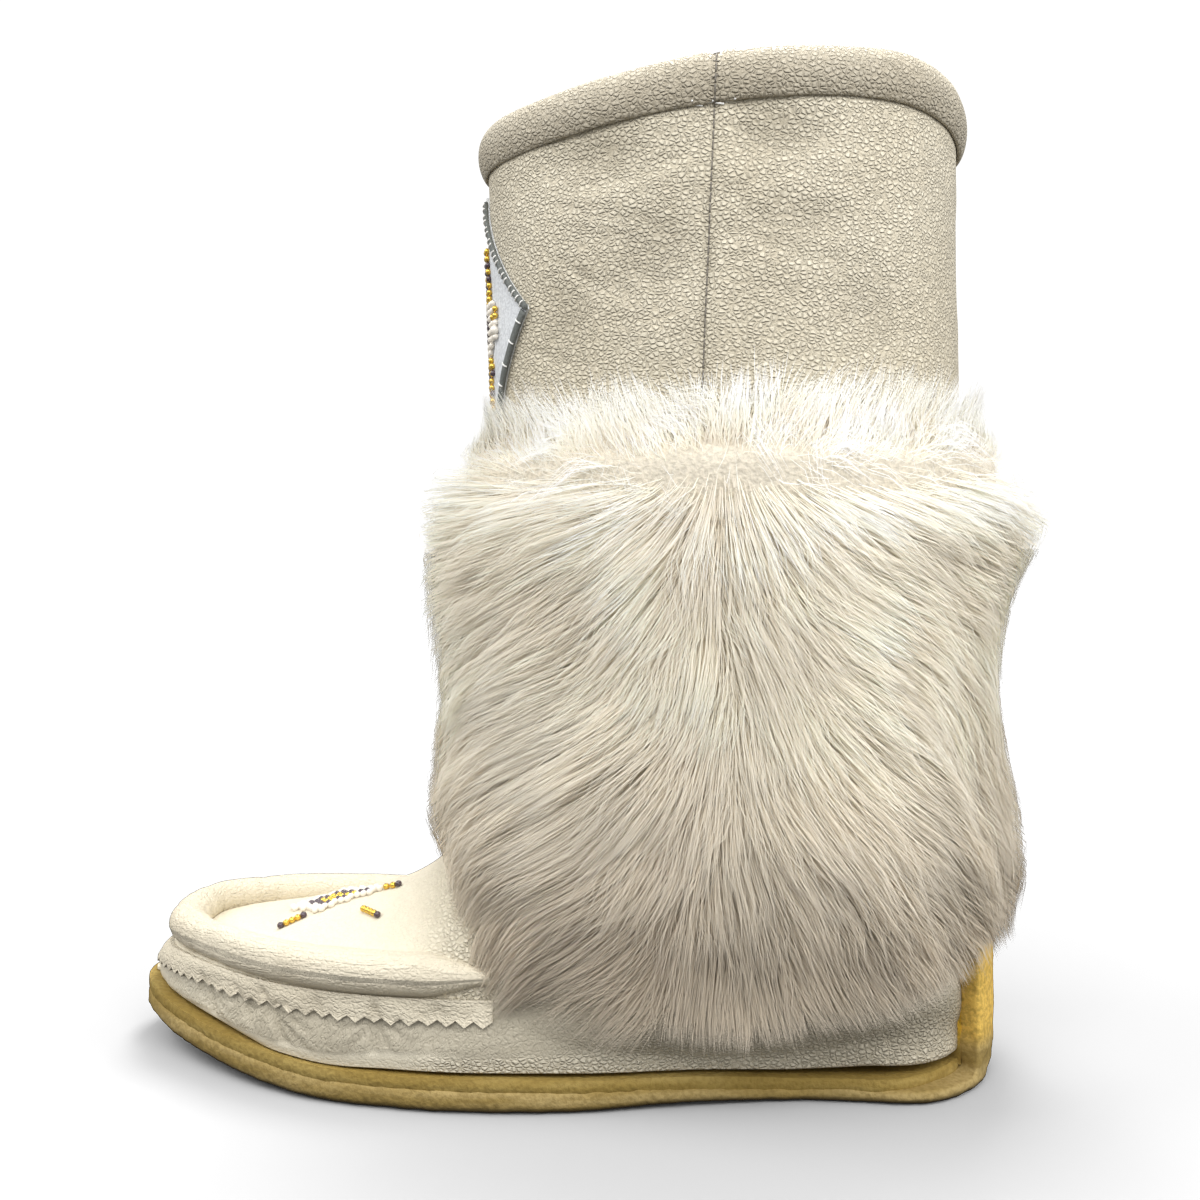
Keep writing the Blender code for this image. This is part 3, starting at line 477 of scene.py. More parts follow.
# Creases in the shaft's side, as straight pieces in metres, each a trough with soft lips
FOLDS = (
    # x from, z from, x to, z to, depth, width
    (-0.0748, 0.2522, -0.0525, 0.2546, 0.00060, 0.0020),
    (-0.0525, 0.2546, -0.0367, 0.2592, 0.00050, 0.0018),
    (-0.0303, 0.2699, -0.0405, 0.2671, 0.00050, 0.0013),
    (-0.0307, 0.2690, -0.0367, 0.2592, 0.00040, 0.0014),
    (-0.0310, 0.2672, -0.0423, 0.2620, 0.00040, 0.0013),
    (-0.0284, 0.2689, -0.0154, 0.2592, 0.00045, 0.0014),
    (-0.0275, 0.2700, -0.0182, 0.2699, 0.00045, 0.0013),
    (-0.0280, 0.2655, -0.0215, 0.2560, 0.00035, 0.0013),
    (-0.0275, 0.2462, -0.0154, 0.2518, 0.00045, 0.0018),
    (-0.0154, 0.2518, -0.0015, 0.2527, 0.00050, 0.0018),
    (-0.0015, 0.2527, 0.0124, 0.2462, 0.00045, 0.0018),
    (0.0124, 0.2462, 0.0198, 0.2462, 0.00030, 0.0016),
    (-0.0284, 0.2379, -0.0200, 0.2392, 0.00040, 0.0016),
    (-0.0200, 0.2392, -0.0089, 0.2471, 0.00045, 0.0016),
    (-0.0089, 0.2471, 0.0004, 0.2508, 0.00035, 0.0016),
    (-0.0205, 0.2430, -0.0275, 0.2490, 0.00035, 0.0013),
    (-0.0205, 0.2430, -0.0238, 0.2508, 0.00030, 0.0013),
    (-0.0205, 0.2430, -0.0135, 0.2490, 0.00030, 0.0013),
    (-0.0205, 0.2430, -0.0126, 0.2379, 0.00035, 0.0013),
    (-0.0205, 0.2430, -0.0191, 0.2341, 0.00030, 0.0013),
    (-0.0200, 0.2365, -0.0089, 0.2323, 0.00050, 0.0017),
    (-0.0089, 0.2323, 0.0059, 0.2304, 0.00055, 0.0018),
    (0.0059, 0.2304, 0.0124, 0.2314, 0.00035, 0.0016),
    (-0.0738, 0.2341, -0.0553, 0.2230, 0.00045, 0.0014),
    (-0.0711, 0.2323, -0.0599, 0.2221, 0.00035, 0.0013),
    (-0.0646, 0.2323, -0.0516, 0.2225, 0.00045, 0.0014),
    (-0.0683, 0.2406, -0.0479, 0.2374, 0.00035, 0.0014),
    (-0.0794, 0.2508, -0.0618, 0.2453, 0.00040, 0.0015),
    (-0.0618, 0.2453, -0.0405, 0.2392, 0.00045, 0.0015),
    (-0.0572, 0.2304, -0.0405, 0.2249, 0.00040, 0.0014),
    (-0.0405, 0.2527, -0.0321, 0.2453, 0.00035, 0.0014),
    (-0.0442, 0.2379, -0.0330, 0.2341, 0.00035, 0.0013),
    (-0.0646, 0.2165, -0.0442, 0.2156, 0.00030, 0.0014),
    (-0.0219, 0.2249, -0.0033, 0.2193, 0.00030, 0.0015),
    (0.0050, 0.2546, 0.0170, 0.2490, 0.00030, 0.0015),
    (-0.0275, 0.2304, -0.0126, 0.2341, 0.00030, 0.0014),
    (-0.0850, 0.2120, -0.0700, 0.2050, 0.00030, 0.0015),
)

# Broad dents in the shaft's side
DENTS = (
    # x, z, half-width, half-height, depth
    (-0.0618, 0.2600, 0.0150, 0.0060, 0.0011),
    (-0.0126, 0.2625, 0.0120, 0.0065, 0.0010),
    (-0.0480, 0.2330, 0.0160, 0.0110, 0.0006),
    (-0.0060, 0.2410, 0.0120, 0.0060, 0.0006),
    (0.0100, 0.2180, 0.0150, 0.0120, 0.0006),
    (-0.0740, 0.2180, 0.0100, 0.0140, 0.0006),
)
DENT_STRENGTH = 2.1
FOLD_STRENGTH = 1.5
SEAM_TOP_X = -0.0293
SEAM_LEAN = 0.048


def seam_x(height):
    """x of the seam that runs up each side of the shaft."""
    return SEAM_TOP_X - SEAM_LEAN * (0.280 - height)


def shaft_round(x, y):
    """How far round the shaft from the middle of its back a place is, in metres, the same on both sides."""
    turn = np.arctan2(np.abs(y) / (SHAFT_WIDTH / 2), (x - SHAFT_CENTRE) / (SHAFT_LENGTH / 2))
    return turn * (SHAFT_WIDTH + SHAFT_LENGTH) / 4


def shaft_round_at(x):
    """The same from a place's x alone."""
    turn = np.arccos(np.clip((x - SHAFT_CENTRE) / (SHAFT_LENGTH / 2), -1, 1))
    return turn * (SHAFT_WIDTH + SHAFT_LENGTH) / 4


def line_distance(u, v, start, end):
    """Distances of places (u, v) from the straight piece between two ends."""
    du, dv = end[0] - start[0], end[1] - start[1]
    share = np.clip(((u - start[0]) * du + (v - start[1]) * dv) / (du * du + dv * dv), 0, 1)
    return np.hypot(u - start[0] - share * du, v - start[1] - share * dv), share


def shaft_relief(points):
    """Slack, dents, creases and the seam's groove in the shaft."""
    x, y, z = points.T
    around = shaft_round(x, y)
    total = 0.0007 * soft_noise(points * (1.0, 1.0, 0.7), 0.045, 1)
    total += 0.00025 * soft_noise(points * (1.0, 1.0, 0.8), 0.017, 2)
    total += 0.00016 * soft_noise(points, 0.0075, 7)
    for dent_x, dent_z, half_width, half_height, depth in DENTS:
        apart = np.hypot((around - shaft_round_at(dent_x)) / half_width, (z - dent_z) / half_height)
        total -= DENT_STRENGTH * depth * np.exp(-apart**2)
    ripple = 0.0009 * soft_noise(points, 0.012, 8)
    for x_from, z_from, x_to, z_to, depth, width in FOLDS:
        start, end = (shaft_round_at(x_from), z_from), (shaft_round_at(x_to), z_to)
        apart, share = line_distance(around + ripple, z + ripple, start, end)
        weight = FOLD_STRENGTH * depth * (0.35 + 0.65 * np.sin(math.pi * share))
        total += weight * (0.45 * bell(apart, 2.4 * width) - 1.25 * bell(apart, width))
    apart = np.abs(around - shaft_round_at(seam_x(z)))
    total += 0.0005 * bell(apart - 0.0030, 0.0024) - 0.0008 * bell(apart, 0.0011)
    return total * ease((z - 0.07) / 0.05) * ease((0.2745 - z) / 0.007)


def wall_share(points, facing):
    """1 on the toe's wall under the pinked edge, 0 elsewhere."""
    x, z = points[:, 0], points[:, 2]
    side = ease((0.80 - np.abs(facing[:, 2])) / 0.3)
    return side * ease((z - 0.008) / 0.006) * ease((WALL_TOP + 0.005 - z) / 0.004) * ease((-0.045 - x) / 0.04)


def leather_relief(points, facing):
    """How far the real leather stands off the plain loft: slack in the shaft, puckers in the wall."""
    x, z = points[:, 0], points[:, 2]
    place = wall_place(points)
    in_wall = wall_share(points, facing)
    drawn = np.stack((place + 0.35 * (WALL_TOP - z), z * 0.16, np.zeros(len(z))), axis=1)
    pucker = -0.00034 * (1 - np.abs(soft_noise(drawn, 0.0075, 3))) ** 3
    pucker -= 0.00009 * (1 - np.abs(soft_noise(drawn, 0.0034, 4))) ** 3
    pucker += 0.00050 * soft_noise(drawn, 0.013, 5)
    pucker *= in_wall * (0.35 + 0.65 * ease((z - 0.012) / 0.010))
    total = shaft_relief(points) + pucker
    for gather_x, gather_z, slant, length, depth in GATHERS:
        centre, half = outline(sole_along(gather_x))
        home = wall_place(np.array(((gather_x, centre - half, gather_z),)))[0]
        down = gather_z + 0.002 - z
        across = place - home - slant * down
        reach = np.hypot(across, down)
        turn = np.arctan2(across, np.maximum(down, 1e-6))
        fan = -np.abs(np.cos(turn * 6.0 + 0.4)) ** 3
        fade = bell(reach - 0.5 * length, 0.6 * length) * (down > 0)
        groove = bell(across, 0.0011 + 0.10 * np.maximum(down, 0)) * bell(down, length)
        pit = np.exp(-((across / 0.0045) ** 2) - ((down - 0.002) / 0.0045) ** 2)
        total += depth * in_wall * (0.0010 * fan * fade - 0.0017 * groove - 0.0010 * pit)
    plug = ease((facing[:, 2] - 0.6) / 0.3) * ease((-0.10 - x) / 0.02)
    total += plug * 0.0005 * soft_noise(points, 0.026, 6)
    return total


# Meshes

def new_piece(name, points, faces, material, slot=None):
    """A smooth mesh piece that rides on the boot. slot is not used."""
    mesh = bpy.data.meshes.new(name)
    mesh.from_pydata(np.asarray(points).tolist(), [], faces)
    mesh.update()
    mesh.shade_smooth()
    obj = bpy.data.objects.new(name, mesh)
    bpy.context.scene.collection.objects.link(obj)
    mesh.materials.append(material)
    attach(obj, "root")
    return obj


def tube_faces(rows, columns, start=0, flip=False, ring_closed=True, loop_closed=False):
    """Quads between rows of rings, as rows of point numbers from start."""
    faces = []
    last_row = rows if loop_closed else rows - 1
    last_column = columns if ring_closed else columns - 1
    for i in range(last_row):
        a, b = start + i * columns, start + (i + 1) % rows * columns
        for j in range(last_column):
            k = (j + 1) % columns
            quad = (a + j, a + k, b + k, b + j)
            faces.append(quad[::-1] if flip else quad)
    return faces


def faces_outward(points, faces):
    """The faces, all turned over if the closed surface they make is inside out."""
    points = np.asarray(points)
    volume = 0.0
    for face in faces:
        a = points[face[0]]
        for j in range(1, len(face) - 1):
            volume += np.dot(a, np.cross(points[face[j]], points[face[j + 1]]))
    return faces if volume > 0 else [tuple(reversed(face)) for face in faces]


class Skin:
    """The finished outside of the leather, met by rays from outside."""

    def __init__(self, points, faces):
        self.tree = BVHTree.FromPolygons(points.tolist(), faces)

    def hit(self, target, direction):
        """The outermost point of the skin on the ray from target outwards, and its normal."""
        out = Vector(direction).normalized()
        far = Vector(target) + out * SOLE_LENGTH
        point, normal, _, _ = self.tree.ray_cast(far, -out, SOLE_LENGTH)
        if point is None:
            return Vector(target), out
        return point, normal if normal.dot(out) > 0 else -normal

    def round_leg(self, angle, height):
        """The skin's point at a direction round the leg, 0 at the back and pi at the front."""
        out = Vector((math.cos(angle), -math.sin(angle), 0.0))
        return self.hit((SHAFT_CENTRE, 0.0, height), out)


# Materials

class Finish:
    """A procedural material, built node by node."""

    def __init__(self, name, colour, roughness, **sockets):
        self.material = bpy.data.materials.new(name)
        self.material.use_nodes = True
        self.tree = self.material.node_tree
        self.shader = self.tree.nodes["Principled BSDF"]
        self.shader.inputs["Base Color"].default_value = (*colour, 1.0)
        self.shader.inputs["Roughness"].default_value = roughness
        for socket, value in sockets.items():
            self.shader.inputs[socket.replace("_", " ")].default_value = value

    def node(self, kind, inputs=None, **settings):
        """A node with its settings, whose inputs are values or other nodes' sockets."""
        node = self.tree.nodes.new("ShaderNode" + kind)
        for setting, value in settings.items():
            setattr(node, setting, value)
        for socket, value in (inputs or {}).items():
            if isinstance(value, bpy.types.NodeSocket):
                self.tree.links.new(value, node.inputs[socket])
            else:
                node.inputs[socket].default_value = value
        return node

    def math(self, operation, *values):
        return self.node("Math", dict(enumerate(values)), operation=operation).outputs[0]

    def place(self, stretch=(1.0, 1.0, 1.0), attribute=None):
        """Coordinates in metres, stretched: the object's own, or a vector that the mesh carries."""
        if attribute:
            source = self.node("Attribute", attribute_name=attribute).outputs["Vector"]
        else:
            source = self.node("TexCoord").outputs["Object"]
        return self.node("Mapping", {"Vector": source, "Scale": stretch}).outputs["Vector"]

    def noise(self, scale, detail=2.0, place=None):
        inputs = {"Scale": scale, "Detail": detail, "Vector": place or self.place()}
        return self.node("TexNoise", inputs).outputs["Fac"]

    def cells(self, scale, feature="DISTANCE_TO_EDGE", warp=0.0, place=None):
        """Cells of a given number to the metre, with wavering edges where warp, in metres, is more than 0."""
        place = place or self.place()
        if warp:
            inputs = {"Scale": scale * 0.6, "Detail": 2.0, "Vector": place}
            shift = self.node("TexNoise", inputs).outputs["Color"]
            shift = self.node("VectorMath", {0: shift, 1: (0.5, 0.5, 0.5)}, operation="SUBTRACT").outputs[0]
            shift = self.node("VectorMath", {0: shift, "Scale": warp * 2}, operation="SCALE").outputs[0]
            place = self.node("VectorMath", {0: place, 1: shift}, operation="ADD").outputs[0]
        return self.node("TexVoronoi", {"Scale": scale, "Vector": place}, feature=feature).outputs["Distance"]

    def spread(self, value, low, high, new_low=0.0, new_high=1.0):
        """value from low..high to new_low..new_high, with soft ends."""
        inputs = {"Value": value, "From Min": low, "From Max": high, "To Min": new_low, "To Max": new_high}
        return self.node("MapRange", inputs, interpolation_type="SMOOTHSTEP").outputs["Result"]

    def blend(self, share, a, b):
        """Colour a to b by a share of 0 to 1. Each is a colour or a socket."""
        mix = self.node("Mix", data_type="RGBA")
        for index, value in ((0, share), (6, a), (7, b)):
            if isinstance(value, bpy.types.NodeSocket):
                self.tree.links.new(value, mix.inputs[index])
            else:
                mix.inputs[index].default_value = (*value, 1.0) if index else value
        return mix.outputs[2]

    def colour(self, socket):
        self.tree.links.new(socket, self.shader.inputs["Base Color"])

    def roughness(self, socket):
        self.tree.links.new(socket, self.shader.inputs["Roughness"])

    def bump(self, height, distance, strength=1.0):
        """Relief of a height of 0 to 1 over a distance in metres, on top of relief added before."""
        before = self.shader.inputs["Normal"].links
        inputs = {"Height": height, "Distance": distance, "Strength": strength}
        if before:
            inputs["Normal"] = before[0].from_socket
        node = self.node("Bump", inputs)
        self.tree.links.new(node.outputs["Normal"], self.shader.inputs["Normal"])


def leather(name, pale, shade, pebble, creases, attributes=False):
    """White leather. pale and shade are its two tones, pebble and creases are depths of relief in metres.
    With attributes, the mesh says how strong each is, and where painted shade darkens the colour."""
    finish = Finish(name, pale, 0.5, Specular_IOR_Level=0.36)
    cells = finish.cells(650.0, warp=0.00045, place=finish.place((1.0, 1.0, 1.3)))
    rounded = finish.spread(cells, 0.0, 0.30)
    tone = finish.blend(finish.spread(finish.noise(26.0, 3.0), 0.35, 0.7), pale, shade)
    deep = tuple(channel * share for channel, share in zip(shade, (0.62, 0.59, 0.54)))
    pit = finish.math("MULTIPLY", finish.math("SUBTRACT", 1.0, rounded), min(pebble / 0.0005, 1.0) * 0.56)
    grain = fold = 1.0
    if attributes:
        grain = finish.node("Attribute", attribute_name="grain").outputs["Fac"]
        fold = finish.node("Attribute", attribute_name="fold").outputs["Fac"]
        pit = finish.math("MULTIPLY", pit, grain)
    wrinkle = finish.noise(560.0, 2.0, finish.place(attribute="drawn"))
    ridge = finish.math("ABSOLUTE", finish.math("SUBTRACT", wrinkle, 0.5))
    ridge = finish.spread(ridge, 0.0, 0.10)
    lines = min(creases / 0.0006, 1.0) * 0.14
    tone = finish.blend(finish.math("MULTIPLY", finish.math("SUBTRACT", 1.0, ridge), lines), tone, deep)
    tone = finish.blend(pit, tone, deep)
    # The attribute read below is painted shade: it darkens the colour low on the upper's sides, in the
    # shaft's hollows and on the collar roll's underside.
    if attributes:
        painted_shade = finish.node("Attribute", attribute_name="painted_shade").outputs["Fac"]
        tone = finish.blend(painted_shade, tone, tuple(channel * 0.62 for channel in deep))
    finish.colour(tone)
    finish.roughness(finish.spread(finish.noise(300.0), 0.3, 0.7, 0.44, 0.58))
    finish.bump(ridge, creases, fold)
    finish.bump(finish.noise(1700.0, 3.0), 0.00012)
    finish.bump(rounded, pebble, grain)
    return finish.material


def crepe(name, pale, mid, deep, tab):
    """Crepe rubber: honey-coloured crumb with soft paler streaks, and painted shadow on the rounded underside
    edge. tab is its tone up the heel.
    """
    finish = Finish(name, mid, 0.78, Specular_IOR_Level=0.25)
    streak = finish.noise(60.0, 3.0, finish.place((0.35, 0.35, 3.2)))
    crumb = finish.noise(700.0, 4.0)
    lump = finish.cells(420.0, "F1", 0.001)
    split = finish.node("SeparateXYZ", {"Vector": finish.place()})
    high = finish.spread(split.outputs["Z"], 0.009, 0.017)
    at_heel = finish.spread(split.outputs["X"], 0.015, 0.030)
    in_tab = finish.math("MULTIPLY", high, at_heel)
    tone = finish.blend(finish.spread(streak, 0.40, 0.60), mid, pale)
    tone = finish.blend(in_tab, tone, tab)
    tone = finish.blend(finish.spread(crumb, 0.60, 0.36, 0.0, 0.40), tone, deep)
    # Painted shadow: the attribute read here darkens the outsole's rounded underside edge, like contact
    # shade.
    under = finish.node("Attribute", attribute_name="under").outputs["Fac"]
    finish.colour(finish.blend(under, tone, tuple(channel * 0.30 for channel in deep)))
    finish.bump(crumb, 0.0004)
    finish.bump(lump, 0.0003, 0.6)
    return finish.material


leather_finish = leather("white leather", (0.79, 0.73, 0.585), (0.73, 0.665, 0.52), 0.00046, 0.00050, True)
trim_finish = leather("trim leather", (0.78, 0.71, 0.56), (0.72, 0.645, 0.50), 0.00012, 0.00013)
# The collar leather is a little darker than the upper's leather, as painted shade on the roll.
shaded_collar_finish = leather("collar leather", (0.74, 0.68, 0.545), (0.67, 0.605, 0.475), 0.00042, 0.00030, True)
crepe_finish = crepe(
    "crepe", (0.42, 0.31, 0.125), (0.32, 0.225, 0.070), (0.20, 0.135, 0.035), (0.84, 0.55, 0.12)
)
midsole_finish = crepe(
    "amber crepe", (0.40, 0.29, 0.090), (0.32, 0.22, 0.055), (0.20, 0.13, 0.03), (0.86, 0.53, 0.06)
)


def plain_cloth(name, colour, scale, depth, roughness=0.9):
    """A felted or suede surface."""
    finish = Finish(name, colour, roughness, Specular_IOR_Level=0.15)
    fuzz = finish.noise(scale, 4.0)
    darker = tuple(channel * 0.82 for channel in colour)
    finish.colour(finish.blend(finish.spread(fuzz, 0.35, 0.65), darker, colour))
    finish.bump(fuzz, depth)
    return finish.material


lining_finish = plain_cloth("lining", (0.76, 0.70, 0.58), 900.0, 0.0003)
felt_finish = plain_cloth("felt", (0.80, 0.77, 0.70), 700.0, 0.0005)
suede_finish = plain_cloth("panel leather", (0.74, 0.76, 0.78), 1100.0, 0.0002, 0.75)
grey_finish = plain_cloth("grey binding", (0.17, 0.18, 0.17), 1300.0, 0.0002, 0.8)
cut_finish = plain_cloth("cut edge", (0.30, 0.29, 0.26), 1300.0, 0.0002)
thread_finish = Finish("white thread", (0.88, 0.87, 0.84), 0.6).material
dark_thread_finish = Finish("dark thread", (0.20, 0.18, 0.15), 0.6).material
BEADS = {
    "gold": Finish("gold bead", (0.80, 0.52, 0.07), 0.22, Metallic=0.75, Coat_Weight=0.6).material,
    "dark": Finish("dark bead", (0.060, 0.032, 0.045), 0.18, Coat_Weight=0.8).material,
    "pearl": Finish("pearl bead", (0.90, 0.84, 0.74), 0.28, Coat_Weight=0.5, Sheen_Weight=0.2).material,
}


# The leather upper

def store_vectors(mesh, name, vectors):
    layer = mesh.attributes.new(name, "FLOAT_VECTOR", "POINT")
    layer.data.foreach_set("vector", np.asarray(vectors, np.float32).ravel())


def store_values(mesh, name, values):
    layer = mesh.attributes.new(name, "FLOAT", "POINT")
    layer.data.foreach_set("value", np.asarray(values, np.float32))


def make_upper():
    """The outside with its relief, the lining inside it, and the skin that overlays lie on."""
    rows = smooth_rows(upper_rings())
    rows = np.concatenate((toe_cap(rows[0]), rows))
    facing = grid_normals(rows)
    flat = filled_foot(rows.reshape(-1, 3))
    relief = leather_relief(flat, facing.reshape(-1, 3))
    deep, floor = 0.0009, 0.0017
    past = np.tanh((-relief - deep) / (floor - deep))
    relief = np.where(relief < -deep, -deep - (floor - deep) * past, relief)
    outside = (flat + facing.reshape(-1, 3) * relief[:, None]).reshape(rows.shape)
    count, around = rows.shape[:2]
    inner_from = 14
    inner_rows = list(range(inner_from, count - 1, 4)) + [count - 1]
    inside = rows[inner_rows] - facing[inner_rows] * UPPER_WALL
    points = np.concatenate((outside.reshape(-1, 3), inside.reshape(-1, 3)))
    outer_faces = tube_faces(count, around)
    shell = Skin(points, outer_faces)
    first_inner = count * around
    inner_faces = tube_faces(len(inner_rows), around, first_inner, flip=True)
    rim_outer, rim_inner = (count - 1) * around, first_inner + (len(inner_rows) - 1) * around
    rim = [(rim_outer + j, rim_outer + (j + 1) % around, rim_inner + (j + 1) % around, rim_inner + j)
           for j in range(around)]
    toe = [tuple(range(around - 1, -1, -1)), tuple(range(first_inner, first_inner + around))]
    faces = faces_outward(points, outer_faces + inner_faces + rim + toe)
    obj = new_piece("leather_upper", points, faces, leather_finish, "leather")
    obj.data.materials.append(lining_finish)
    lined = np.zeros(len(faces), np.int32)
    lined[len(outer_faces):len(outer_faces) + len(inner_faces)] = 1
    obj.data.polygons.foreach_set("material_index", lined)
    vamp = ease((-0.10 - points[:, 0]) / 0.02)
    lining_points = len(points) - len(flat)
    outward = np.concatenate((facing.reshape(-1, 3), np.tile((0.0, 0.0, 1.0), (lining_points, 1))))
    wall = np.concatenate((wall_share(flat, outward[:len(flat)]), np.zeros(lining_points)))
    grain = (1.0 - vamp * 0.86) * (1 - 0.75 * wall)
    store_values(obj.data, "grain", grain)
    store_values(obj.data, "fold", 0.12 + 0.10 * vamp + 0.26 * wall)
    # Painted shade: darker low on the upper's sides near the sole, and in the shaft's deepest dents and
    # creases near the collar.
    low_side_shade = ease((0.034 - points[:, 2]) / 0.012) * ease((0.75 - np.abs(outward[:, 2])) / 0.3)
    hollow_shade = 0.45 * np.clip((-relief - 0.0002) / 0.0018, 0, 1) * (flat[:, 2] > 0.17)
    painted_shade = 0.46 * low_side_shade * ease((points[:, 0] + 0.195) / 0.05)
    store_values(obj.data, "painted_shade", painted_shade + np.concatenate((hollow_shade, np.zeros(lining_points))))
    place = wall_place(points)
    down = WALL_TOP - points[:, 2]
    fanned = np.stack((place + 0.35 * down, points[:, 2] * 0.55, np.zeros(len(points))), axis=1)
    store_vectors(obj.data, "drawn", points + wall[:, None] * (fanned - points))
    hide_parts("upper")
    return shell, outside[-1]


skin, collar_edge = make_upper()


# Rolls and the pinked band

def closed_curve(corners, count):
    """A smooth closed loop of count points through 2D corners."""
    corners = np.asarray(corners, float)
    before, after, beyond = (np.roll(corners, shift, axis=0) for shift in (1, -1, -2))
    steps = count // len(corners)
    found = []
    for i in range(len(corners)):
        for t in np.arange(steps) / steps:
            found.append(0.5 * (
                2 * corners[i] + (after[i] - before[i]) * t
                + (2 * before[i] - 5 * corners[i] + 4 * after[i] - beyond[i]) * t**2
                + (3 * corners[i] - before[i] - 3 * after[i] + beyond[i]) * t**3
            ))
    return np.array(found)


def make_collar_roll():
    """The rolled top edge: fat outside the shaft, over its edge and a little way down inside."""
    # (out, up) from the outside of the upper's edge. out is in COLLAR_ROLL_DEPTH outside, and as a share of
    # the wall with its facing inside. up is in COLLAR_ROLL_HEIGHT.
    profile = (
        (0.05, -0.84), (0.55, -0.86), (1.08, -0.66), (1.30, -0.40), (1.12, -0.12), (0.48, 0.105),
        (-0.30, 0.155), (-0.86, 0.07), (-1.02, -0.16), (-0.98, -0.36), (-0.70, -0.40),
    )
    loop = closed_curve(profile, 66)
    inside = UPPER_WALL + OVERLAY_GAP + COLLAR_FACING
    reach_out = np.where(loop[:, 0] > 0, COLLAR_ROLL_DEPTH, inside) * loop[:, 0]
    edge = collar_edge
    along = np.roll(edge, -1, axis=0) - np.roll(edge, 1, axis=0)
    out = np.stack((along[:, 1], -along[:, 0], np.zeros(len(edge))), axis=1)
    out /= np.linalg.norm(out, axis=1, keepdims=True)
    middle = np.array((SHAFT_CENTRE, 0.0, 0.0))
    if (out * (edge - middle)).sum() < 0:
        out = -out
    rings = []
    for spot, way in zip(edge, out):
        rise = loop[:, 1] * COLLAR_ROLL_HEIGHT
        rings.append(spot + reach_out[:, None] * way + rise[:, None] * np.array((0.0, 0.0, 1.0)))
    rings = np.array(rings)
    flat = rings.reshape(-1, 3)
    facing = grid_normals(rings).reshape(-1, 3)
    relief = 0.00030 * soft_noise(flat, 0.020, 11) + 0.00014 * soft_noise(flat * (1, 1, 0.4), 0.006, 12)
    apart = np.abs(shaft_round(flat[:, 0], flat[:, 1]) - shaft_round_at(SEAM_TOP_X))
    relief += 0.0003 * bell(apart - 0.0028, 0.0022) - 0.0007 * bell(apart, 0.0013)
    flat = flat + facing * relief[:, None]
    faces = faces_outward(flat, tube_faces(*rings.shape[:2], loop_closed=True))
    obj = new_piece("collar_edge_roll", flat, faces, shaded_collar_finish, "trim_leather")
    store_vectors(obj.data, "drawn", flat * (1.0, 1.0, 0.35))
    store_values(obj.data, "grain", np.ones(len(flat)))
    store_values(obj.data, "fold", np.full(len(flat), 0.3))
    # Painted shade: the roll darkened where it faces down.
    store_values(obj.data, "painted_shade", 0.42 * ease((0.62 - facing[:, 2]) / 0.9))
    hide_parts("collar_roll")
    return Skin(flat, faces)


def rim_path(steps, height_of):
    """Points on the foot's wall, from under the fur on the outer side round the toe to the inner side, with
    their outward directions. height_of takes (along) and gives the height."""
    side_end, toe_from = 0.540, 0.865
    toe_centre, toe_half = outline(toe_from)
    turn_x = sole_x(toe_from)
    straight = (toe_from - side_end) * SOLE_LENGTH
    total = 2 * straight + math.pi * toe_half
    found = []
    for i in range(steps + 1):
        reach = total * i / steps
        if reach < straight or reach > total - straight:
            side = -1 if reach < straight else 1
            run = reach if side < 0 else total - reach
            along = side_end + run / SOLE_LENGTH
            origin = (sole_x(along), outline(along)[0])
            out = Vector((0.0, side, 0.0))
        else:
            angle = (reach - straight) / toe_half
            out = Vector((-math.sin(angle), -math.cos(angle), 0.0))
            origin = (turn_x, toe_centre)
            along = toe_from + (1 - toe_from) * math.sin(angle)
        height = height_of(along)
        point, _ = skin.hit((origin[0], origin[1], height), out)
        found.append((point, out, reach, origin))
    return found


def rim_height(along):
    """The height of the middle of the vamp's roll."""
    return RIM_HEIGHT * (1.0 + 0.025 * ease((along - 0.75) / 0.2))


def make_vamp_roll():
    """The soft roll round the plug, laid in the corner between wall and plug."""
    steps, sides = 420, 26
    crease = rim_path(steps, lambda along: rim_height(along) - VAMP_ROLL_RADIUS * 0.8)
    line = np.array([tuple(point) for point, _, _, _ in crease])
    kernel = np.hanning(15)[1:-1]
    kernel /= kernel.sum()
    padded = np.concatenate((np.repeat(line[:1], 6, 0), line, np.repeat(line[-1:], 6, 0)))
    line = np.stack([np.convolve(padded[:, axis], kernel, "valid") for axis in range(3)], axis=1)
    rings, drawn = [], []
    for i, (_, out, reach, _) in enumerate(crease):
        end = min(i, steps - i) / steps
        radius = VAMP_ROLL_RADIUS * (0.35 + 0.65 * ease(end * 14))
        middle = line[i] - np.array(out) * radius * 0.25 + np.array((0.0, 0.0, VAMP_ROLL_RADIUS * 0.8))
        for j in range(sides):
            angle = 2 * math.pi * j / sides
            side, up = math.cos(angle), math.sin(angle)
            rings.append(middle + np.array(out) * radius * side + np.array((0.0, 0.0, radius * up)))
            drawn.append((reach, radius * angle, 0.0))
    rings = np.array(rings).reshape(steps + 1, sides, 3)
    drawn = np.array(drawn)
    facing = grid_normals(rings).reshape(-1, 3)
    flat = rings.reshape(-1, 3)
    toe = ease((-0.165 - flat[:, 0]) / 0.02)
    gathered = -0.0005 * (1 - np.abs(soft_noise(drawn * (1.0, 0.25, 1.0), 0.0075, 21))) ** 3
    relief = 0.00045 * soft_noise(drawn * (1.0, 0.7, 1.0), 0.019, 22) + gathered * (0.25 + 0.75 * toe)
    flat = flat + facing * relief[:, None]
    caps = [tuple(range(sides - 1, -1, -1)), tuple(range(steps * sides, (steps + 1) * sides))]
    faces = faces_outward(flat, tube_faces(steps + 1, sides) + caps)
    obj = new_piece("vamp_edge_roll", flat, faces, trim_finish, "trim_leather")
    store_vectors(obj.data, "drawn", drawn * (0.3, 1.0, 1.0) + flat * 0.2)
    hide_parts("vamp_roll")


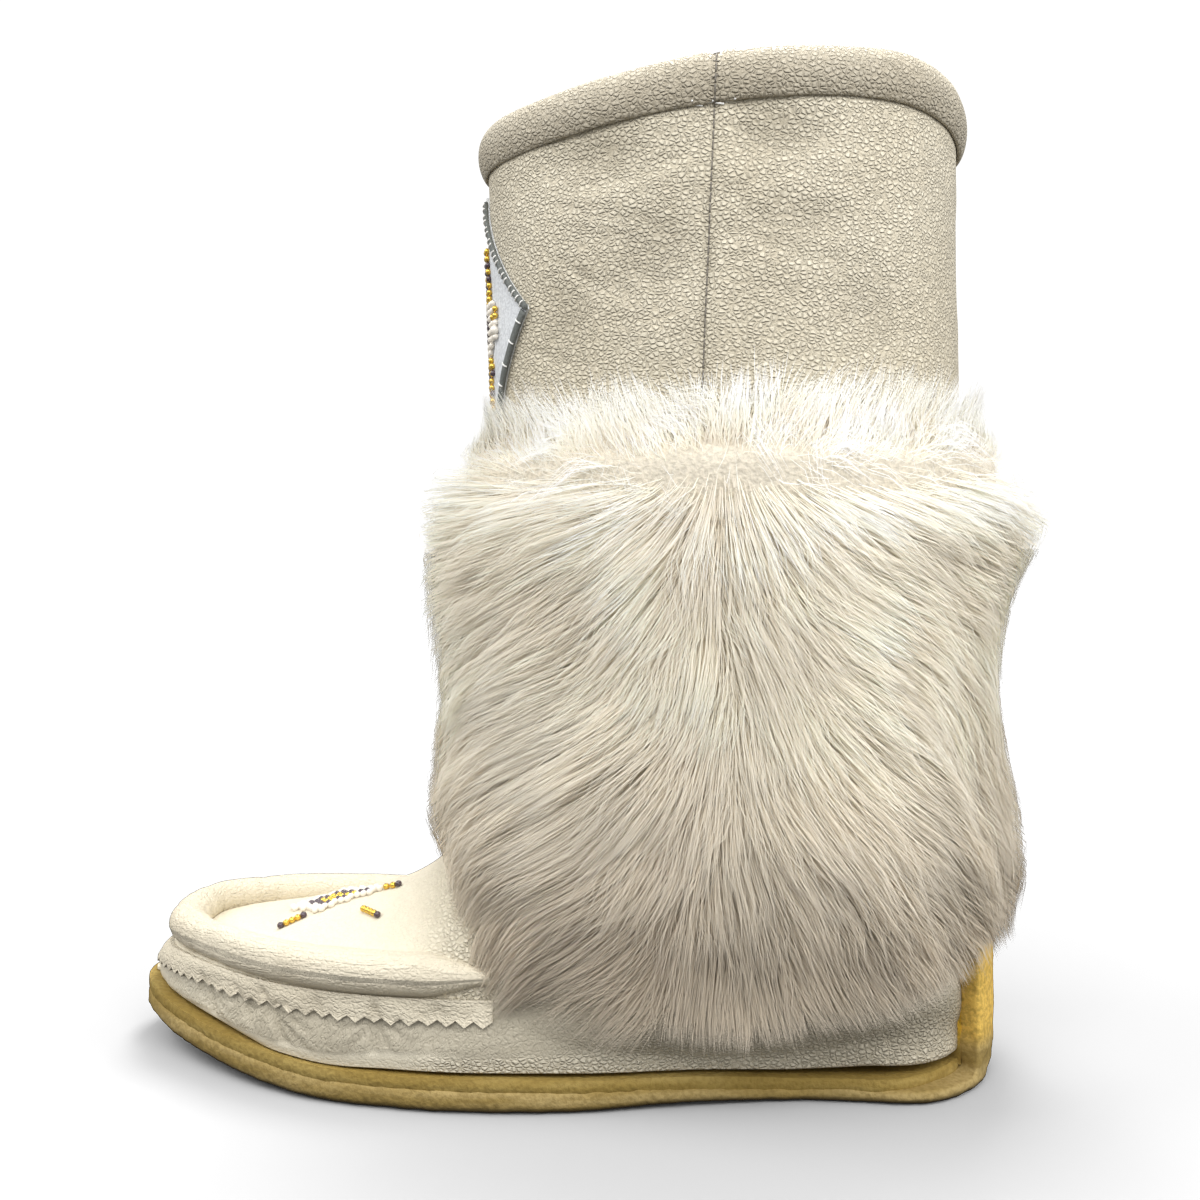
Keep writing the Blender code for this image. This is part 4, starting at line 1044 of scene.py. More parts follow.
def make_pinked_band():
    """The flat band under the roll. Its lower edge is pinked, and shows the leather's grey core."""
    rows, per_tooth = 7, 10

    def top_height(along):
        return rim_height(along) - VAMP_ROLL_RADIUS - GAP

    span = rim_path(1, lambda along: top_height(along) - 0.5 * BAND_HEIGHT)[-1][2]
    teeth = round(span / TOOTH_PITCH)
    steps = teeth * per_tooth
    line = rim_path(steps, top_height)
    rings, drawn = [], []
    for i, (top, out, reach, origin) in enumerate(line):
        phase = abs(2 * (i % per_tooth) / per_tooth - 1)
        drop = BAND_HEIGHT + 0.0004 * math.sin(i * 0.021) - TOOTH_DEPTH * phase
        outer, inner = [], []
        for k in range(rows):
            low, _ = skin.hit((origin[0], origin[1], top.z - drop * k / (rows - 1)), out)
            low, way = np.array(low), np.array(out)
            curl = 0.0003 * (k / (rows - 1)) ** 3
            outer.append(low + way * (BAND_THICK * 0.85 + curl))
            inner.append(low - way * BAND_THICK * 0.4)
        rings.append(outer + inner[::-1])
        drawn += [(reach * 0.25, k * 0.0011, 0.0) for k in range(2 * rows)]
    rings = np.array(rings)
    flat = rings.reshape(-1, 3)
    place = np.array(drawn) * (4.0, 1.0, 1.0)
    ripple = 0.00018 * soft_noise(place * (0.35, 1.0, 1.0), 0.0021, 32)
    ripple += 0.00022 * soft_noise(place, 0.012, 33)
    outward = np.repeat(np.array([tuple(out) for _, out, _, _ in line]), 2 * rows, axis=0)
    flat = flat + outward * ripple[:, None]
    columns = 2 * rows
    caps = [tuple(range(columns - 1, -1, -1)), tuple(range(steps * columns, (steps + 1) * columns))]
    faces = faces_outward(flat, tube_faces(steps + 1, columns) + caps)
    obj = new_piece("pinked_edge_band", flat, faces, trim_finish, "trim_leather")
    obj.data.materials.append(cut_finish)
    edge = {rows - 1, rows}
    cut = [1 if {v % columns for v in face} == edge else 0 for face in faces]
    obj.data.polygons.foreach_set("material_index", np.array(cut, np.int32))
    obj.data.set_sharp_from_angle(angle=math.radians(50))
    store_vectors(obj.data, "drawn", drawn)
    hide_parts("pinked_band")


roll_skin = make_collar_roll()
make_vamp_roll()
make_pinked_band()


# Seams and stitches

def cord(line, radius, sides=7):
    """(points, faces) of a round thread along a line of points."""
    line = np.asarray(line, float)
    along = np.gradient(line, axis=0)
    along /= np.linalg.norm(along, axis=1, keepdims=True)
    helper = np.array((0.0, 0.0, 1.0)) if abs(along[:, 2]).mean() < 0.8 else np.array((1.0, 0.0, 0.0))
    side = np.cross(along, helper)
    side /= np.linalg.norm(side, axis=1, keepdims=True)
    up = np.cross(side, along)
    turn = 2 * math.pi * np.arange(sides) / sides
    rings = line[:, None] + radius * (
        np.cos(turn)[None, :, None] * side[:, None] + np.sin(turn)[None, :, None] * up[:, None]
    )
    return closed_tube(rings)


def seam_place(side, x, height):
    """The outermost leather, roll or shaft, on one side of the shaft, and its outward normal."""
    roll_foot = COLLAR_FRONT_HEIGHT + COLLAR_ARCH * 0.77 - 0.78 * COLLAR_ROLL_HEIGHT
    surface = roll_skin if height > roll_foot else skin
    point, normal = surface.hit((x, 0.0, height), (0.0, side, 0.0))
    return np.array(point), np.array(normal)


def make_seams():
    """The dark thread of each side seam with its tacks, and the pale stitches under the roll."""
    dark, pale = [], []
    for side in (-1.0, 1.0):
        height = FUR_TOP - 0.006
        while height < 0.2835:
            heights = np.linspace(height, height + 0.0023, 4)
            line = [stitch_point(side, seam_x(h), h, 0.00003) for h in heights]
            if min(side * point[1] for point in line) > SHAFT_WIDTH / 4:
                dark.append(cord(line, 0.00024))
            height += 0.0027
        for tack, tilt in ((0.2832, 0.25), (0.2808, -0.2), (0.2768, 0.3)):
            across = np.linspace(-0.0008, 0.0008, 4)
            line = [stitch_point(side, seam_x(tack) + a, tack + a * tilt, 0.00008) for a in across]
            if min(side * point[1] for point in line) > SHAFT_WIDTH / 4:
                dark.append(cord(line, 0.00020))
        for x, z, half, tilt in PALE_STITCHES:
            across = np.linspace(-half, half, 6)
            bow = 0.0002 * (1 - (across / half) ** 2)
            line = [stitch_point(side, x + a, z + a * tilt, 0.0001 + b) for a, b in zip(across, bow)]
            pale.append(cord(line, 0.00027))
    new_piece("seam_thread", *joined(*dark), dark_thread_finish)
    new_piece("roll_stitches", *joined(*pale), thread_finish)


# Pale stitches at the foot of the roll, by the seam
PALE_STITCHES = (
    # x, z, half-length, slope
    (-0.0368, 0.2709, 0.0013, 0.35),
    (-0.0340, 0.2704, 0.0012, -0.15),
    (-0.0312, 0.2710, 0.0011, 0.25),
    (-0.0284, 0.2706, 0.0011, -0.25),
    (-0.0256, 0.2711, 0.0012, 0.15),
)


def stitch_point(side, x, height, lift):
    point, normal = seam_place(side, x, height)
    return point + normal * lift


# The beaded panel

def panel_half(height):
    """Half the width of the front panel at a height."""
    if height > PANEL_WAIST:
        return PANEL_HALF_WIDTH * (1 - 0.93 * (height - PANEL_WAIST) / (PANEL_TOP - PANEL_WAIST))
    return PANEL_HALF_WIDTH * (1 - 0.55 * (PANEL_WAIST - height) / (PANEL_WAIST - PANEL_BOTTOM))


def panel_spot(y, height, lift):
    """A point over the front of the shaft, and the level normal there."""
    point, normal = skin.hit((SHAFT_CENTRE, y, height), (-1.0, 0.0, 0.0))
    flat = Vector((normal.x, normal.y, 0.0)).normalized()
    return np.array(point + flat * lift), np.array(flat)


def make_front_panel():
    rows, columns = 60, 30
    rings = []
    for i in range(rows + 1):
        height = PANEL_BOTTOM + (PANEL_TOP - PANEL_BOTTOM) * i / rows
        half = panel_half(height)
        across = [half * (2 * j / columns - 1) for j in range(columns + 1)]
        inner = [panel_spot(y, height, -0.0004)[0] for y in across]
        outer = [panel_spot(y, height, PANEL_THICK)[0] for y in across]
        rings.append(inner + outer[::-1])
    points, faces = closed_tube(np.array(rings))
    points = points + 0.0002 * soft_noise(points, 0.012, 61)[:, None] * (1.0, 0.0, 0.0)
    obj = new_piece("pointed_panel", points, faces, suede_finish, "panel_leather")
    obj.data.set_sharp_from_angle(angle=math.radians(50))
    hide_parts("front_panel")


def strip(spots, normals, half_width, thick, sides=12):
    """(points, faces) of a flat soft strip along spots, and its rings."""
    spots, normals = np.array(spots), np.array(normals)
    along = np.gradient(spots, axis=0)
    along /= np.linalg.norm(along, axis=1, keepdims=True)
    side = np.cross(along, normals)
    side /= np.linalg.norm(side, axis=1, keepdims=True)
    turn = 2 * math.pi * np.arange(sides) / sides
    flat = np.sign(np.cos(turn)) * np.abs(np.cos(turn)) ** 0.6
    rings = spots[:, None] + half_width * flat[None, :, None] * side[:, None]
    rings = rings + thick * np.sin(turn)[None, :, None] * normals[:, None]
    return closed_tube(rings), side


def make_binding():
    """The grey strips along the panel's edges, whipped over with white thread."""
    strips, threads = [], []
    # from height, to height, half-width, thickness, stitch spacing
    runs = (
        (PANEL_BOTTOM + 0.0005, PANEL_WAIST - 0.0010, 0.00125, 0.0007, 0.0068),
        (PANEL_WAIST - 0.0006, PANEL_TOP - 0.0022, 0.00100, 0.0007, 0.0027),
    )
    for side in (-1.0, 1.0):
        for low, high, half_width, thick, spacing in runs:
            heights = np.linspace(low, high, 44)
            places = []
            for h in heights:
                off = side * (panel_half(h) - half_width * 0.4)
                places.append(panel_spot(off, h, PANEL_THICK + 0.0001))
            spots, normals = [place[0] for place in places], [place[1] for place in places]
            shape, across = strip(spots, normals, half_width, thick)
            strips.append(shape)
            reach = np.concatenate(((0.0,), np.cumsum(np.linalg.norm(np.diff(spots, axis=0), axis=1))))
            for at in np.arange(spacing * 0.5, reach[-1], spacing):
                i = int(np.searchsorted(reach, at))
                arc = np.linspace(-1.15, 1.15, 9)
                line = [
                    spots[i]
                    + across[i] * half_width * 1.12 * math.sin(a)
                    + normals[i] * thick * 1.25 * math.cos(a)
                    for a in arc
                ]
                threads.append(cord(line, 0.00024, 6))
    new_piece("grey_binding", *joined(*strips), grey_finish)
    new_piece("binding_thread", *joined(*threads), thread_finish)


# Beads

BEAD_RADIUS = 0.00098
BEAD_KINDS = {"g": "gold", "d": "dark", "p": "pearl", "P": "pearl"}

# Half of the panel's beadwork, from its middle column outwards, top row first
PANEL_CHART = (
    "p.........",
    "pp..gg....",
    "gp..gg....",
    "gg..dd....",
    "dg..dg....",
    "dd..gd....",
    "gd..dg....",
    "gg..gg....",
    "pg..gg....",
    "pppppppp..",
    "pdpdppppg.",
    "dgdpdppgg.",
    "ggdpddppp.",
    "dgdpdpppP.",
    "pdppdpppp.",
    "ppp.ppp...",
    "pg..pp....",
    "gg..pg....",
    "gd..ggg...",
    "dd..dgd...",
    "dg..gg....",
    "gg..gg....",
    "gp..gd....",
    "pp..gg....",
    "p...gg....",
)
PANEL_CHART_TOP = 0.2450
PANEL_PITCH = 0.00200

# The vamp's lozenge: from the toe to the ankle in columns, from the far edge to the near one in rows
VAMP_CHART = (
    "......pp..........",
    ".....pppp.........",
    "...pppddppp.......",
    ".pppddggddpppp....",
    "pppddggggggddppggd",
    ".pppddggddpppp....",
    "...pppddppp.......",
    ".....pppp.........",
    "......pp..........",
)
VAMP_CHART_FROM = (-0.1630, 0.0020)
VAMP_CHART_TO = (-0.1265, -0.0080)
VAMP_ROW_PITCH = 0.00215

# Short rows of beads beside the lozenge
VAMP_STICKS = (
    # colours, x from, y from, x to, y to
    ("dgggd", -0.1617, -0.0143, -0.1555, -0.0112),
    ("ggggd", -0.1345, -0.0194, -0.1289, -0.0250),
)


def bead_mesh(name, beads):
    """A piece of round beads, given as (kind, point, normal, radius), each standing on its point."""
    rings, sides = 6, 10
    rise = [math.pi * (i + 0.5) / rings for i in range(rings)]
    turn = 2 * math.pi * np.arange(sides) / sides
    points, faces, kinds = [], [], []
    order = list(BEADS)
    for kind, point, normal, radius in beads:
        side = np.cross(normal, (0.31, 0.17, 0.93))
        side /= np.linalg.norm(side)
        other = np.cross(normal, side)
        start = len(points) * rings * sides
        ball = [
            point + radius * (
                normal * (0.75 + 0.88 * math.cos(a))
                + math.sin(a) * (np.cos(turn)[:, None] * side + np.sin(turn)[:, None] * other)
            )
            for a in rise
        ]
        points.append(np.concatenate(ball))
        some = tube_faces(rings, sides, start)
        some += [tuple(range(start, start + sides))[::-1],
                 tuple(range(start + (rings - 1) * sides, start + rings * sides))]
        faces += some
        kinds += [order.index(BEAD_KINDS[kind])] * len(some)
    points = np.concatenate(points)
    if sum(np.dot(points[f[0]], np.cross(points[f[1]], points[f[2]])) for f in faces[:rings * sides]) < 0:
        faces = [tuple(reversed(face)) for face in faces]
    obj = new_piece(name, points, faces, BEADS[order[0]])
    for kind in order[1:]:
        obj.data.materials.append(BEADS[kind])
    obj.data.polygons.foreach_set("material_index", np.array(kinds, np.int32))


def make_panel_beads():
    rng = np.random.default_rng(71)
    beads = []
    for row, line in enumerate(PANEL_CHART):
        height = PANEL_CHART_TOP - row * PANEL_PITCH
        for column, kind in enumerate(line):
            for side in (-1, 1) if column else (1,):
                if kind == ".":
                    continue
                y = side * column * PANEL_PITCH * 1.04 + rng.normal(0, 0.00012)
                point, normal = panel_spot(y, height + rng.normal(0, 0.00012), PANEL_THICK - 0.0001)
                beads.append((kind, point, normal, BEAD_RADIUS * (1.5 if kind == "P" else 1.0)))
    bead_mesh("panel_beads", beads)


def vamp_bead(kind, x, y):
    point, normal = skin.hit((x, y, 0.030), (0.0, 0.0, 1.0))
    return kind, np.array(point), np.array(normal), BEAD_RADIUS * 1.15


def make_vamp_beads():
    rng = np.random.default_rng(72)
    start, end = np.array(VAMP_CHART_FROM), np.array(VAMP_CHART_TO)
    along = (end - start) / (len(VAMP_CHART[0]) - 1)
    across = np.array((-along[1], along[0])) / np.hypot(*along) * VAMP_ROW_PITCH
    middle = (len(VAMP_CHART) - 1) / 2
    beads = []
    for row, line in enumerate(VAMP_CHART):
        for column, kind in enumerate(line):
            if kind != ".":
                spot = start + along * column + across * (middle - row) + rng.normal(0, 0.0001, 2)
                beads.append(vamp_bead(kind, *spot))
    for kinds, x_from, y_from, x_to, y_to in VAMP_STICKS:
        for i, kind in enumerate(kinds):
            share = i / (len(kinds) - 1)
            beads.append(vamp_bead(kind, x_from + (x_to - x_from) * share, y_from + (y_to - y_from) * share))
    bead_mesh("vamp_beads", beads)


# The sole

def sole_plate(top, thickness, width, last):
    """(points, faces) of a flat layer with a soft round edge. top and thickness take (along) and give metres,
    and width gives (centre, half)."""
    toe_from, heel_from, across, edge_steps = 0.89, 0.11, 12, 7
    toe = [toe_from + (1 - toe_from) * math.cos(math.pi / 2 * i / 18) for i in range(18)]
    flat = [toe_from + (heel_from - toe_from) * i / 60 for i in range(60)]
    heel = [heel_from - (heel_from - last) * math.sin(math.pi / 2 * i / 16) for i in range(17)]
    rings = []
    for along in toe + flat + heel:
        centre, half = width(along)
        bulge = min(0.0005, half * 0.2)
        high = top(along)
        low = high - thickness(along)
        ring = [(centre + half * (2 * j / across - 1), high) for j in range(across + 1)]
        for j in range(1, edge_steps):
            t = j / edge_steps
            ring.append((centre + half + bulge * math.sin(math.pi * t), high + (low - high) * t))
        ring += [(centre + half * (1 - 2 * j / across), low) for j in range(across + 1)]
        for j in range(1, edge_steps):
            t = j / edge_steps
            ring.append((centre - half - bulge * math.sin(math.pi * t), low + (high - low) * t))
        rings.append([(sole_x(along), y, z) for y, z in ring])
    return closed_tube(np.array(rings))


def closed_tube(rings):
    """(points, faces) of rings joined in turn, with both ends filled."""
    rows, columns = rings.shape[:2]
    ends = [tuple(range(columns - 1, -1, -1)), tuple(range((rows - 1) * columns, rows * columns))]
    points = rings.reshape(-1, 3)
    return points, faces_outward(points, tube_faces(rows, columns) + ends)


def heel_tab(inner, outer, low):
    """(points, faces) of the part of a layer that turns up the heel. inner and outer take a height and give
    radii about the heel's middle. low is where its foot is, inside the plate."""
    rows, across = 30, 28
    rings = []
    for i in range(rows + 1):
        height = low + (HEEL_TAB_HEIGHT - low) * math.sin(math.pi / 2 * i / rows)
        half = HEEL_TAB_WIDTH / 2
        round_from = HEEL_TAB_HEIGHT - 0.62 * HEEL_TAB_WIDTH
        if height > round_from:
            share = (height - round_from) / (HEEL_TAB_HEIGHT - round_from)
            half *= math.sqrt(max(1 - share**2.4, 0.03))
        sweep = half / (HEEL_WIDTH / 2 - OUTSOLE_HEEL)
        ring = []
        for radius, order in ((inner(height), 1), (outer(height), -1)):
            for j in range(across + 1):
                angle = order * sweep * (2 * j / across - 1)
                ring.append((HEEL_MIDDLE + radius * math.cos(angle), radius * math.sin(angle), height))
        rings.append(ring)
    return closed_tube(np.array(rings))


def joined(*shapes):
    """(points, faces) of several shapes as one mesh."""
    points, faces, start = [], [], 0
    for some, others in shapes:
        points.append(some)
        faces += [tuple(v + start for v in face) for face in others]
        start += len(some)
    return np.concatenate(points), faces


def remeshed(points, faces, voxel):
    """(points, faces) of one skin round closed shapes that overlap."""
    mesh = bpy.data.meshes.new("work")
    mesh.from_pydata(points.tolist(), [], faces)
    obj = bpy.data.objects.new("work", mesh)
    bpy.context.scene.collection.objects.link(obj)
    remesh = obj.modifiers.new("Skin", "REMESH")
    remesh.mode = "VOXEL"
    remesh.voxel_size = voxel
    smooth = obj.modifiers.new("Soften", "SMOOTH")
    smooth.iterations = 3
    result = bpy.data.meshes.new_from_object(obj.evaluated_get(bpy.context.evaluated_depsgraph_get()))
    spots = np.empty(len(result.vertices) * 3, np.float32)
    result.vertices.foreach_get("co", spots)
    found = [tuple(polygon.vertices) for polygon in result.polygons]
    bpy.data.objects.remove(obj)
    bpy.data.meshes.remove(mesh)
    bpy.data.meshes.remove(result)
    return spots.reshape(-1, 3).astype(float), found


def point_normals(points, faces):
    """Unit normals at the points of a mesh of quads."""
    quads = np.array(faces)
    way = np.cross(points[quads[:, 2]] - points[quads[:, 0]], points[quads[:, 3]] - points[quads[:, 1]])
    total = np.zeros_like(points)
    for corner in range(4):
        np.add.at(total, quads[:, corner], way)
    return total / np.maximum(np.linalg.norm(total, axis=1, keepdims=True), 1e-12)


# How far up the outsole's edge is rounded, and how much the midsole's layer is thicker than the part's
OUTSOLE_ROUND = 0.0034
MIDSOLE_FILL = 0.0011


def make_outsole():
    def top(along):
        return floor_height(along) + outsole_thickness(along)

    def outer(height):
        return HEEL_WIDTH / 2 - HEEL_TUCK * max(1 - height / HEEL_TURN, 0.0) ** 2

    plate = sole_plate(top, outsole_thickness, outline, 0.006)
    tab = heel_tab(lambda height: HEEL_WIDTH / 2 - OUTSOLE_HEEL, outer, OUTSOLE_REAR * 0.3)
    points, faces = remeshed(*joined(plate, tab), 0.00105)
    normal = point_normals(points, faces)
    relief = 0.00022 * soft_noise(points, 0.0034, 41) + 0.00016 * soft_noise(points, 0.0017, 42)
    relief += 0.00030 * soft_noise(points * (0.6, 0.6, 2.0), 0.011, 43)
    relief *= ease((normal[:, 2] + 0.9) / 0.4)
    points = points + normal * relief[:, None]
    points[:, 2] = np.maximum(points[:, 2], 0.0)
    along = sole_along(points[:, 0])
    up = points[:, 2] - np.array([floor_height(share) for share in along])
    short = np.clip(1 - up / OUTSOLE_ROUND, 0, 1)
    tuck = OUTSOLE_ROUND * (1 - np.sqrt(1 - np.minimum(short, 0.999) ** 2)) * ease((1.02 - along) / 0.04)
    middle, half = np.array([outline(share) for share in along]).T
    points[:, 1] -= (points[:, 1] - middle) * tuck / np.maximum(half, 0.010)
    points[:, 0] += tuck * ease((along - 0.93) / 0.05)
    obj = new_piece("crepe_outsole", points, faces, crepe_finish, "crepe")
    # Painted shadow on the rounded lower edge, strongest nearest the floor.
    store_values(obj.data, "under", ease((0.75 - up / OUTSOLE_ROUND) / 0.5))
    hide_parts("outsole")


def make_midsole():
    back = HEEL_WIDTH / 2 - OUTSOLE_HEEL - GAP

    def width(along):
        centre, half = outline(along)
        half = max(half - 0.4 * MIDSOLE_INSET, MIDSOLE_INSET)
        past = sole_x(along) - HEEL_MIDDLE
        if past > 0:
            share = min(past / back, 0.999)
            half = min(half, (HEEL_WIDTH / 2 - MIDSOLE_INSET) * (1 - share**1.64) ** (1 / 1.64))
            centre *= 1 - share
        return centre, half

    last = sole_along(HEEL_MIDDLE + back)
    plate = sole_plate(bed_height, lambda along: MIDSOLE_THICK + MIDSOLE_FILL, width, last)
    tab = heel_tab(
        lambda height: back - MIDSOLE_HEEL - 2 * GAP, lambda height: back + 2 * GAP,
        bed_height(0.0) - MIDSOLE_THICK * 0.7,
    )
    points, faces = joined(plate, tab)
    relief = 0.00020 * soft_noise(points, 0.0040, 44)
    points = points + np.stack((relief, -relief, np.zeros(len(points))), axis=1)
    obj = new_piece("amber_midsole", points, faces, midsole_finish, "midsole")
    obj.data.set_sharp_from_angle(angle=math.radians(50))
    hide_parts("midsole")


make_outsole()
make_midsole()
make_seams()
make_front_panel()
make_binding()
make_panel_beads()
make_vamp_beads()
for material_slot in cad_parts["insole"].material_slots:
    material_slot.material = felt_finish


# Fur

FUR_SOURCE = 0.1750
HEM_HANG = 0.0165
STRANDS = 113000
STRAND_POINTS = 4
TUFTS = 460
CLUMPS = 4200
HAIR_TAPER = (1.0, 0.9, 0.6, 0.0)
# Root, middle and tip tones of each hair: the darker roots are partly the fur's own colour and partly painted
# shade under the tips.
HAIR_TONES = ((0.74, 0.64, 0.49), (0.96, 0.87, 0.70), (1.0, 0.96, 0.85))

# How far the hair turns from straight down, in degrees, at its most to either side
FUR_TURN = (
    # height, turn
    (0.030, 30.0),
    (0.060, 34.0),
    (0.090, 37.0),
    (0.120, 43.0),
    (0.145, 52.0),
    (0.162, 64.0),
    (0.175, 80.0),
)


class Pelt:
    """How far the leather and the fur's surface are from the leg's axis, by direction and height."""

    directions, low, high, step = 180, 0.018, 0.214, 0.0028

    def __init__(self):
        rows = np.array([look_up(FUR_ROWS, down) for down in np.linspace(0, 1, 101)])
        count = round((self.high - self.low) / self.step) + 1
        self.leather = np.zeros((self.directions, count))
        self.depth = np.zeros((self.directions, count))
        heights = self.low + self.step * np.arange(count)
        for i in range(self.directions):
            angle = 2 * math.pi * i / self.directions
            hem = float(self.hem(angle))
            back, front, side = self.shares(angle)
            down = np.clip((FUR_TOP - heights) / (FUR_TOP - hem), 0.0, 1.0)
            for column, share in enumerate((front, side, back)):
                self.depth[i] += FUR_DEPTH * share * np.interp(down, np.linspace(0, 1, 101), rows[:, column])
            self.depth[i] += 0.0050 * self.corner(angle) * ease((0.085 - heights) / 0.035)
            for j, height in enumerate(heights):
                point, _ = skin.round_leg(angle, max(height, hem + 0.004))
                self.leather[i, j] = math.hypot(point.x - SHAFT_CENTRE, point.y)

    @staticmethod
    def shares(angle):
        """How much of the back, front and side columns counts in a direction."""
        back = np.maximum(np.cos(angle), 0.0) ** 2
        front = np.maximum(-np.cos(angle), 0.0) ** 2
        return back, front, 1 - back - front

    @staticmethod
    def corner(angle):
        """1 half way between front and side, 0 at the front, side and back."""
        return np.sin(2 * angle) ** 2 * (np.cos(angle) < 0)

    def hem(self, angle):
        back, front, side = self.shares(angle)
        return FUR_TOP * (FUR_HEM_FRONT * front + FUR_HEM_SIDE * side + FUR_HEM_BACK * back)

    def at(self, angle, height):
        """(leather's radius, fur's depth) in arrays of directions and heights."""
        a = (angle / (2 * math.pi) % 1.0) * self.directions
        h = np.clip((height - self.low) / self.step, 0, self.leather.shape[1] - 1.001)
        i, j = np.floor(a).astype(int) % self.directions, np.floor(h).astype(int)
        k, u, v = (i + 1) % self.directions, a - np.floor(a), h - j
        found = []
        for table in (self.leather, self.depth):
            low = table[i, j] * (1 - u) + table[k, j] * u
            high = table[i, j + 1] * (1 - u) + table[k, j + 1] * u
            found.append(low * (1 - v) + high * v)
        return found


def cylinder_point(angle, height, radius):
    return np.stack((SHAFT_CENTRE + radius * np.cos(angle), -radius * np.sin(angle), height), axis=-1)


def scattered(pelt, count, top_share=1.0):
    """(directions, heights) spread evenly over the pelt."""
    angles = np.linspace(0, 2 * math.pi, 721)
    middle = 0.5 * (FUR_TOP + pelt.hem(angles))
    weight = pelt.at(angles, middle)[0] * (FUR_TOP - pelt.hem(angles))
    reach = np.concatenate(((0.0,), np.cumsum(0.5 * (weight[1:] + weight[:-1]))))
    i = np.arange(count) + 0.5
    angle = np.interp(i * 0.7548776662466927 % 1.0, reach / reach[-1], angles)
    hem = pelt.hem(angle)
    return angle, hem + (FUR_TOP * top_share - hem) * (i * 0.5698402909980532 % 1.0)


def hair_flow(angle, height, rng):
    """(sideways, up) unit directions of the hair, and which hairs lie above the line that it parts at."""
    seed = np.stack((np.cos(angle) * 0.07, np.sin(angle) * 0.07, height), axis=1)
    wave = soft_noise(seed, 0.030, 51) * 0.38 + soft_noise(seed, 0.011, 52) * 0.20
    across = -np.sin(2 * angle)
    lean = np.sign(across) * np.abs(across) ** 0.75
    lean = lean * np.where(np.cos(angle) > 0, 0.80, 1.0)
    table = np.array(FUR_TURN)
    turn = np.radians(np.interp(height, table[:, 0], table[:, 1])) * lean + wave
    parting = FUR_SOURCE + 0.0045 * soft_noise(seed, 0.025, 56)
    above = ease((height - parting + 0.003) / 0.006) > rng.random(len(angle))
    upward = turn * 0.35 + rng.normal(0, 0.30, len(angle))
    side = np.where(above, np.sin(upward), np.sin(turn))
    up = np.where(above, np.cos(upward), -np.cos(turn))
    return side, up, above


def strand_lines(pelt, angle, height, rng, flow=None):
    """Points (strand, step, 3) of hairs rooted at directions and heights."""
    count = len(angle)
    side, up, above = flow or hair_flow(angle, height, rng)
    seed = np.stack((np.cos(angle) * 0.07, np.sin(angle) * 0.07, height), axis=1)
    puff = 1.0 + 0.17 * soft_noise(seed, 0.030, 53) + 0.14 * soft_noise(seed, 0.013, 54)
    length = (0.029 + 0.005 * soft_noise(seed, 0.03, 55)) * rng.uniform(0.70, 1.15, count)
    length = np.where(above, 0.0150 * rng.uniform(0.55, 1.25, count), length)
    hang = HEM_HANG - 0.0135 * pelt.shares(angle)[0] + 0.0100 * pelt.corner(angle)
    lowest = pelt.hem(angle) - hang + rng.normal(0, 0.0018, count) + 0.002 * soft_noise(seed, 0.012, 57)
    room = np.maximum(height - lowest, 0.003) / np.maximum(-up, 0.05)
    length = np.where(up < 0, np.minimum(length, room), length)
    layer = 1 - 0.50 * rng.random(count) ** 1.5
    flick = rng.normal(0.0, 0.0009, (count, 2))
    radius_here = pelt.at(angle, height)[0] + FUR_DEPTH
    short = ease(length / 0.020)
    lines = np.empty((count, STRAND_POINTS, 3))
    for k, s in enumerate(np.linspace(0, 1, STRAND_POINTS)):
        a = angle + side * length * s / radius_here + flick[:, 0] * s * s / radius_here
        h = height + up * length * s + flick[:, 1] * s * s
        leather, depth = pelt.at(a, h)
        rise = np.where(above, 0.32 + 0.45 * s, 0.20 + 0.82 * ease(s / 0.62) * (0.45 + 0.55 * short))
        stand = depth * layer * puff * rise + 0.0010 * s * s
        lines[:, k] = cylinder_point(a, h, leather + np.maximum(stand, 0.0008))
    return lines


def gathered(lines, guides, homes, pull, power):
    """Hairs drawn towards their guides, more and more to their tips."""
    share = np.linspace(0, 1, STRAND_POINTS) ** power
    return lines + (pull[:, None] * share[None, :])[:, :, None] * (guides[homes] - lines)


def nearest(spots, roots, spread, rng):
    """The number of the root nearest each spot, after a little jitter."""
    tree = KDTree(len(roots))
    for i, root in enumerate(roots):
        tree.insert(root, i)
    tree.balance()
    return np.array([tree.find(spot)[1] for spot in spots + rng.normal(0, spread, spots.shape)])


def make_fur():
    """A pelt with long fine hairs, drawn into small locks and those into tufts."""
    pelt = Pelt()
    rng = np.random.default_rng(50)
    make_pelt(pelt)
    tufts = strand_lines(pelt, *scattered(pelt, TUFTS), rng)
    angle, height = scattered(pelt, CLUMPS)
    angle = angle + rng.normal(0, 0.02, CLUMPS)
    height = height + rng.normal(0, 0.001, CLUMPS)
    locks = strand_lines(pelt, angle, height, rng)
    lock_home = nearest(locks[:, 0], tufts[:, 0], 0.0022, rng)
    locks = gathered(locks, tufts, lock_home, rng.uniform(0.30, 0.75, CLUMPS), 1.5)
    angle, height = scattered(pelt, STRANDS)
    angle = angle + rng.normal(0, 0.006, STRANDS)
    height = height + rng.normal(0, 0.0008, STRANDS)
    lines = strand_lines(pelt, angle, height, rng)
    home = nearest(lines[:, 0], locks[:, 0], 0.0011, rng)
    lines = gathered(lines, locks, home, rng.uniform(0.10, 0.80, STRANDS), 1.3)
    shade = 1 + 0.045 * rng.normal(0, 1, STRANDS)
    lock_shade = 1 + 0.035 * rng.normal(0, 1, CLUMPS)
    tuft_shade = 1 + 0.065 * rng.normal(0, 1, TUFTS)
    shade *= lock_shade[home] * tuft_shade[lock_home[home]]
    # Painted light: hairs near the top of the cuff made brighter and whiter, as if lit from above.
    crown = ease((height - FUR_SOURCE + 0.014) / 0.016)
    ribbons(lines, shade[:, None] * (1 + crown[:, None] * np.array((0.16, 0.20, 0.28))), rng)


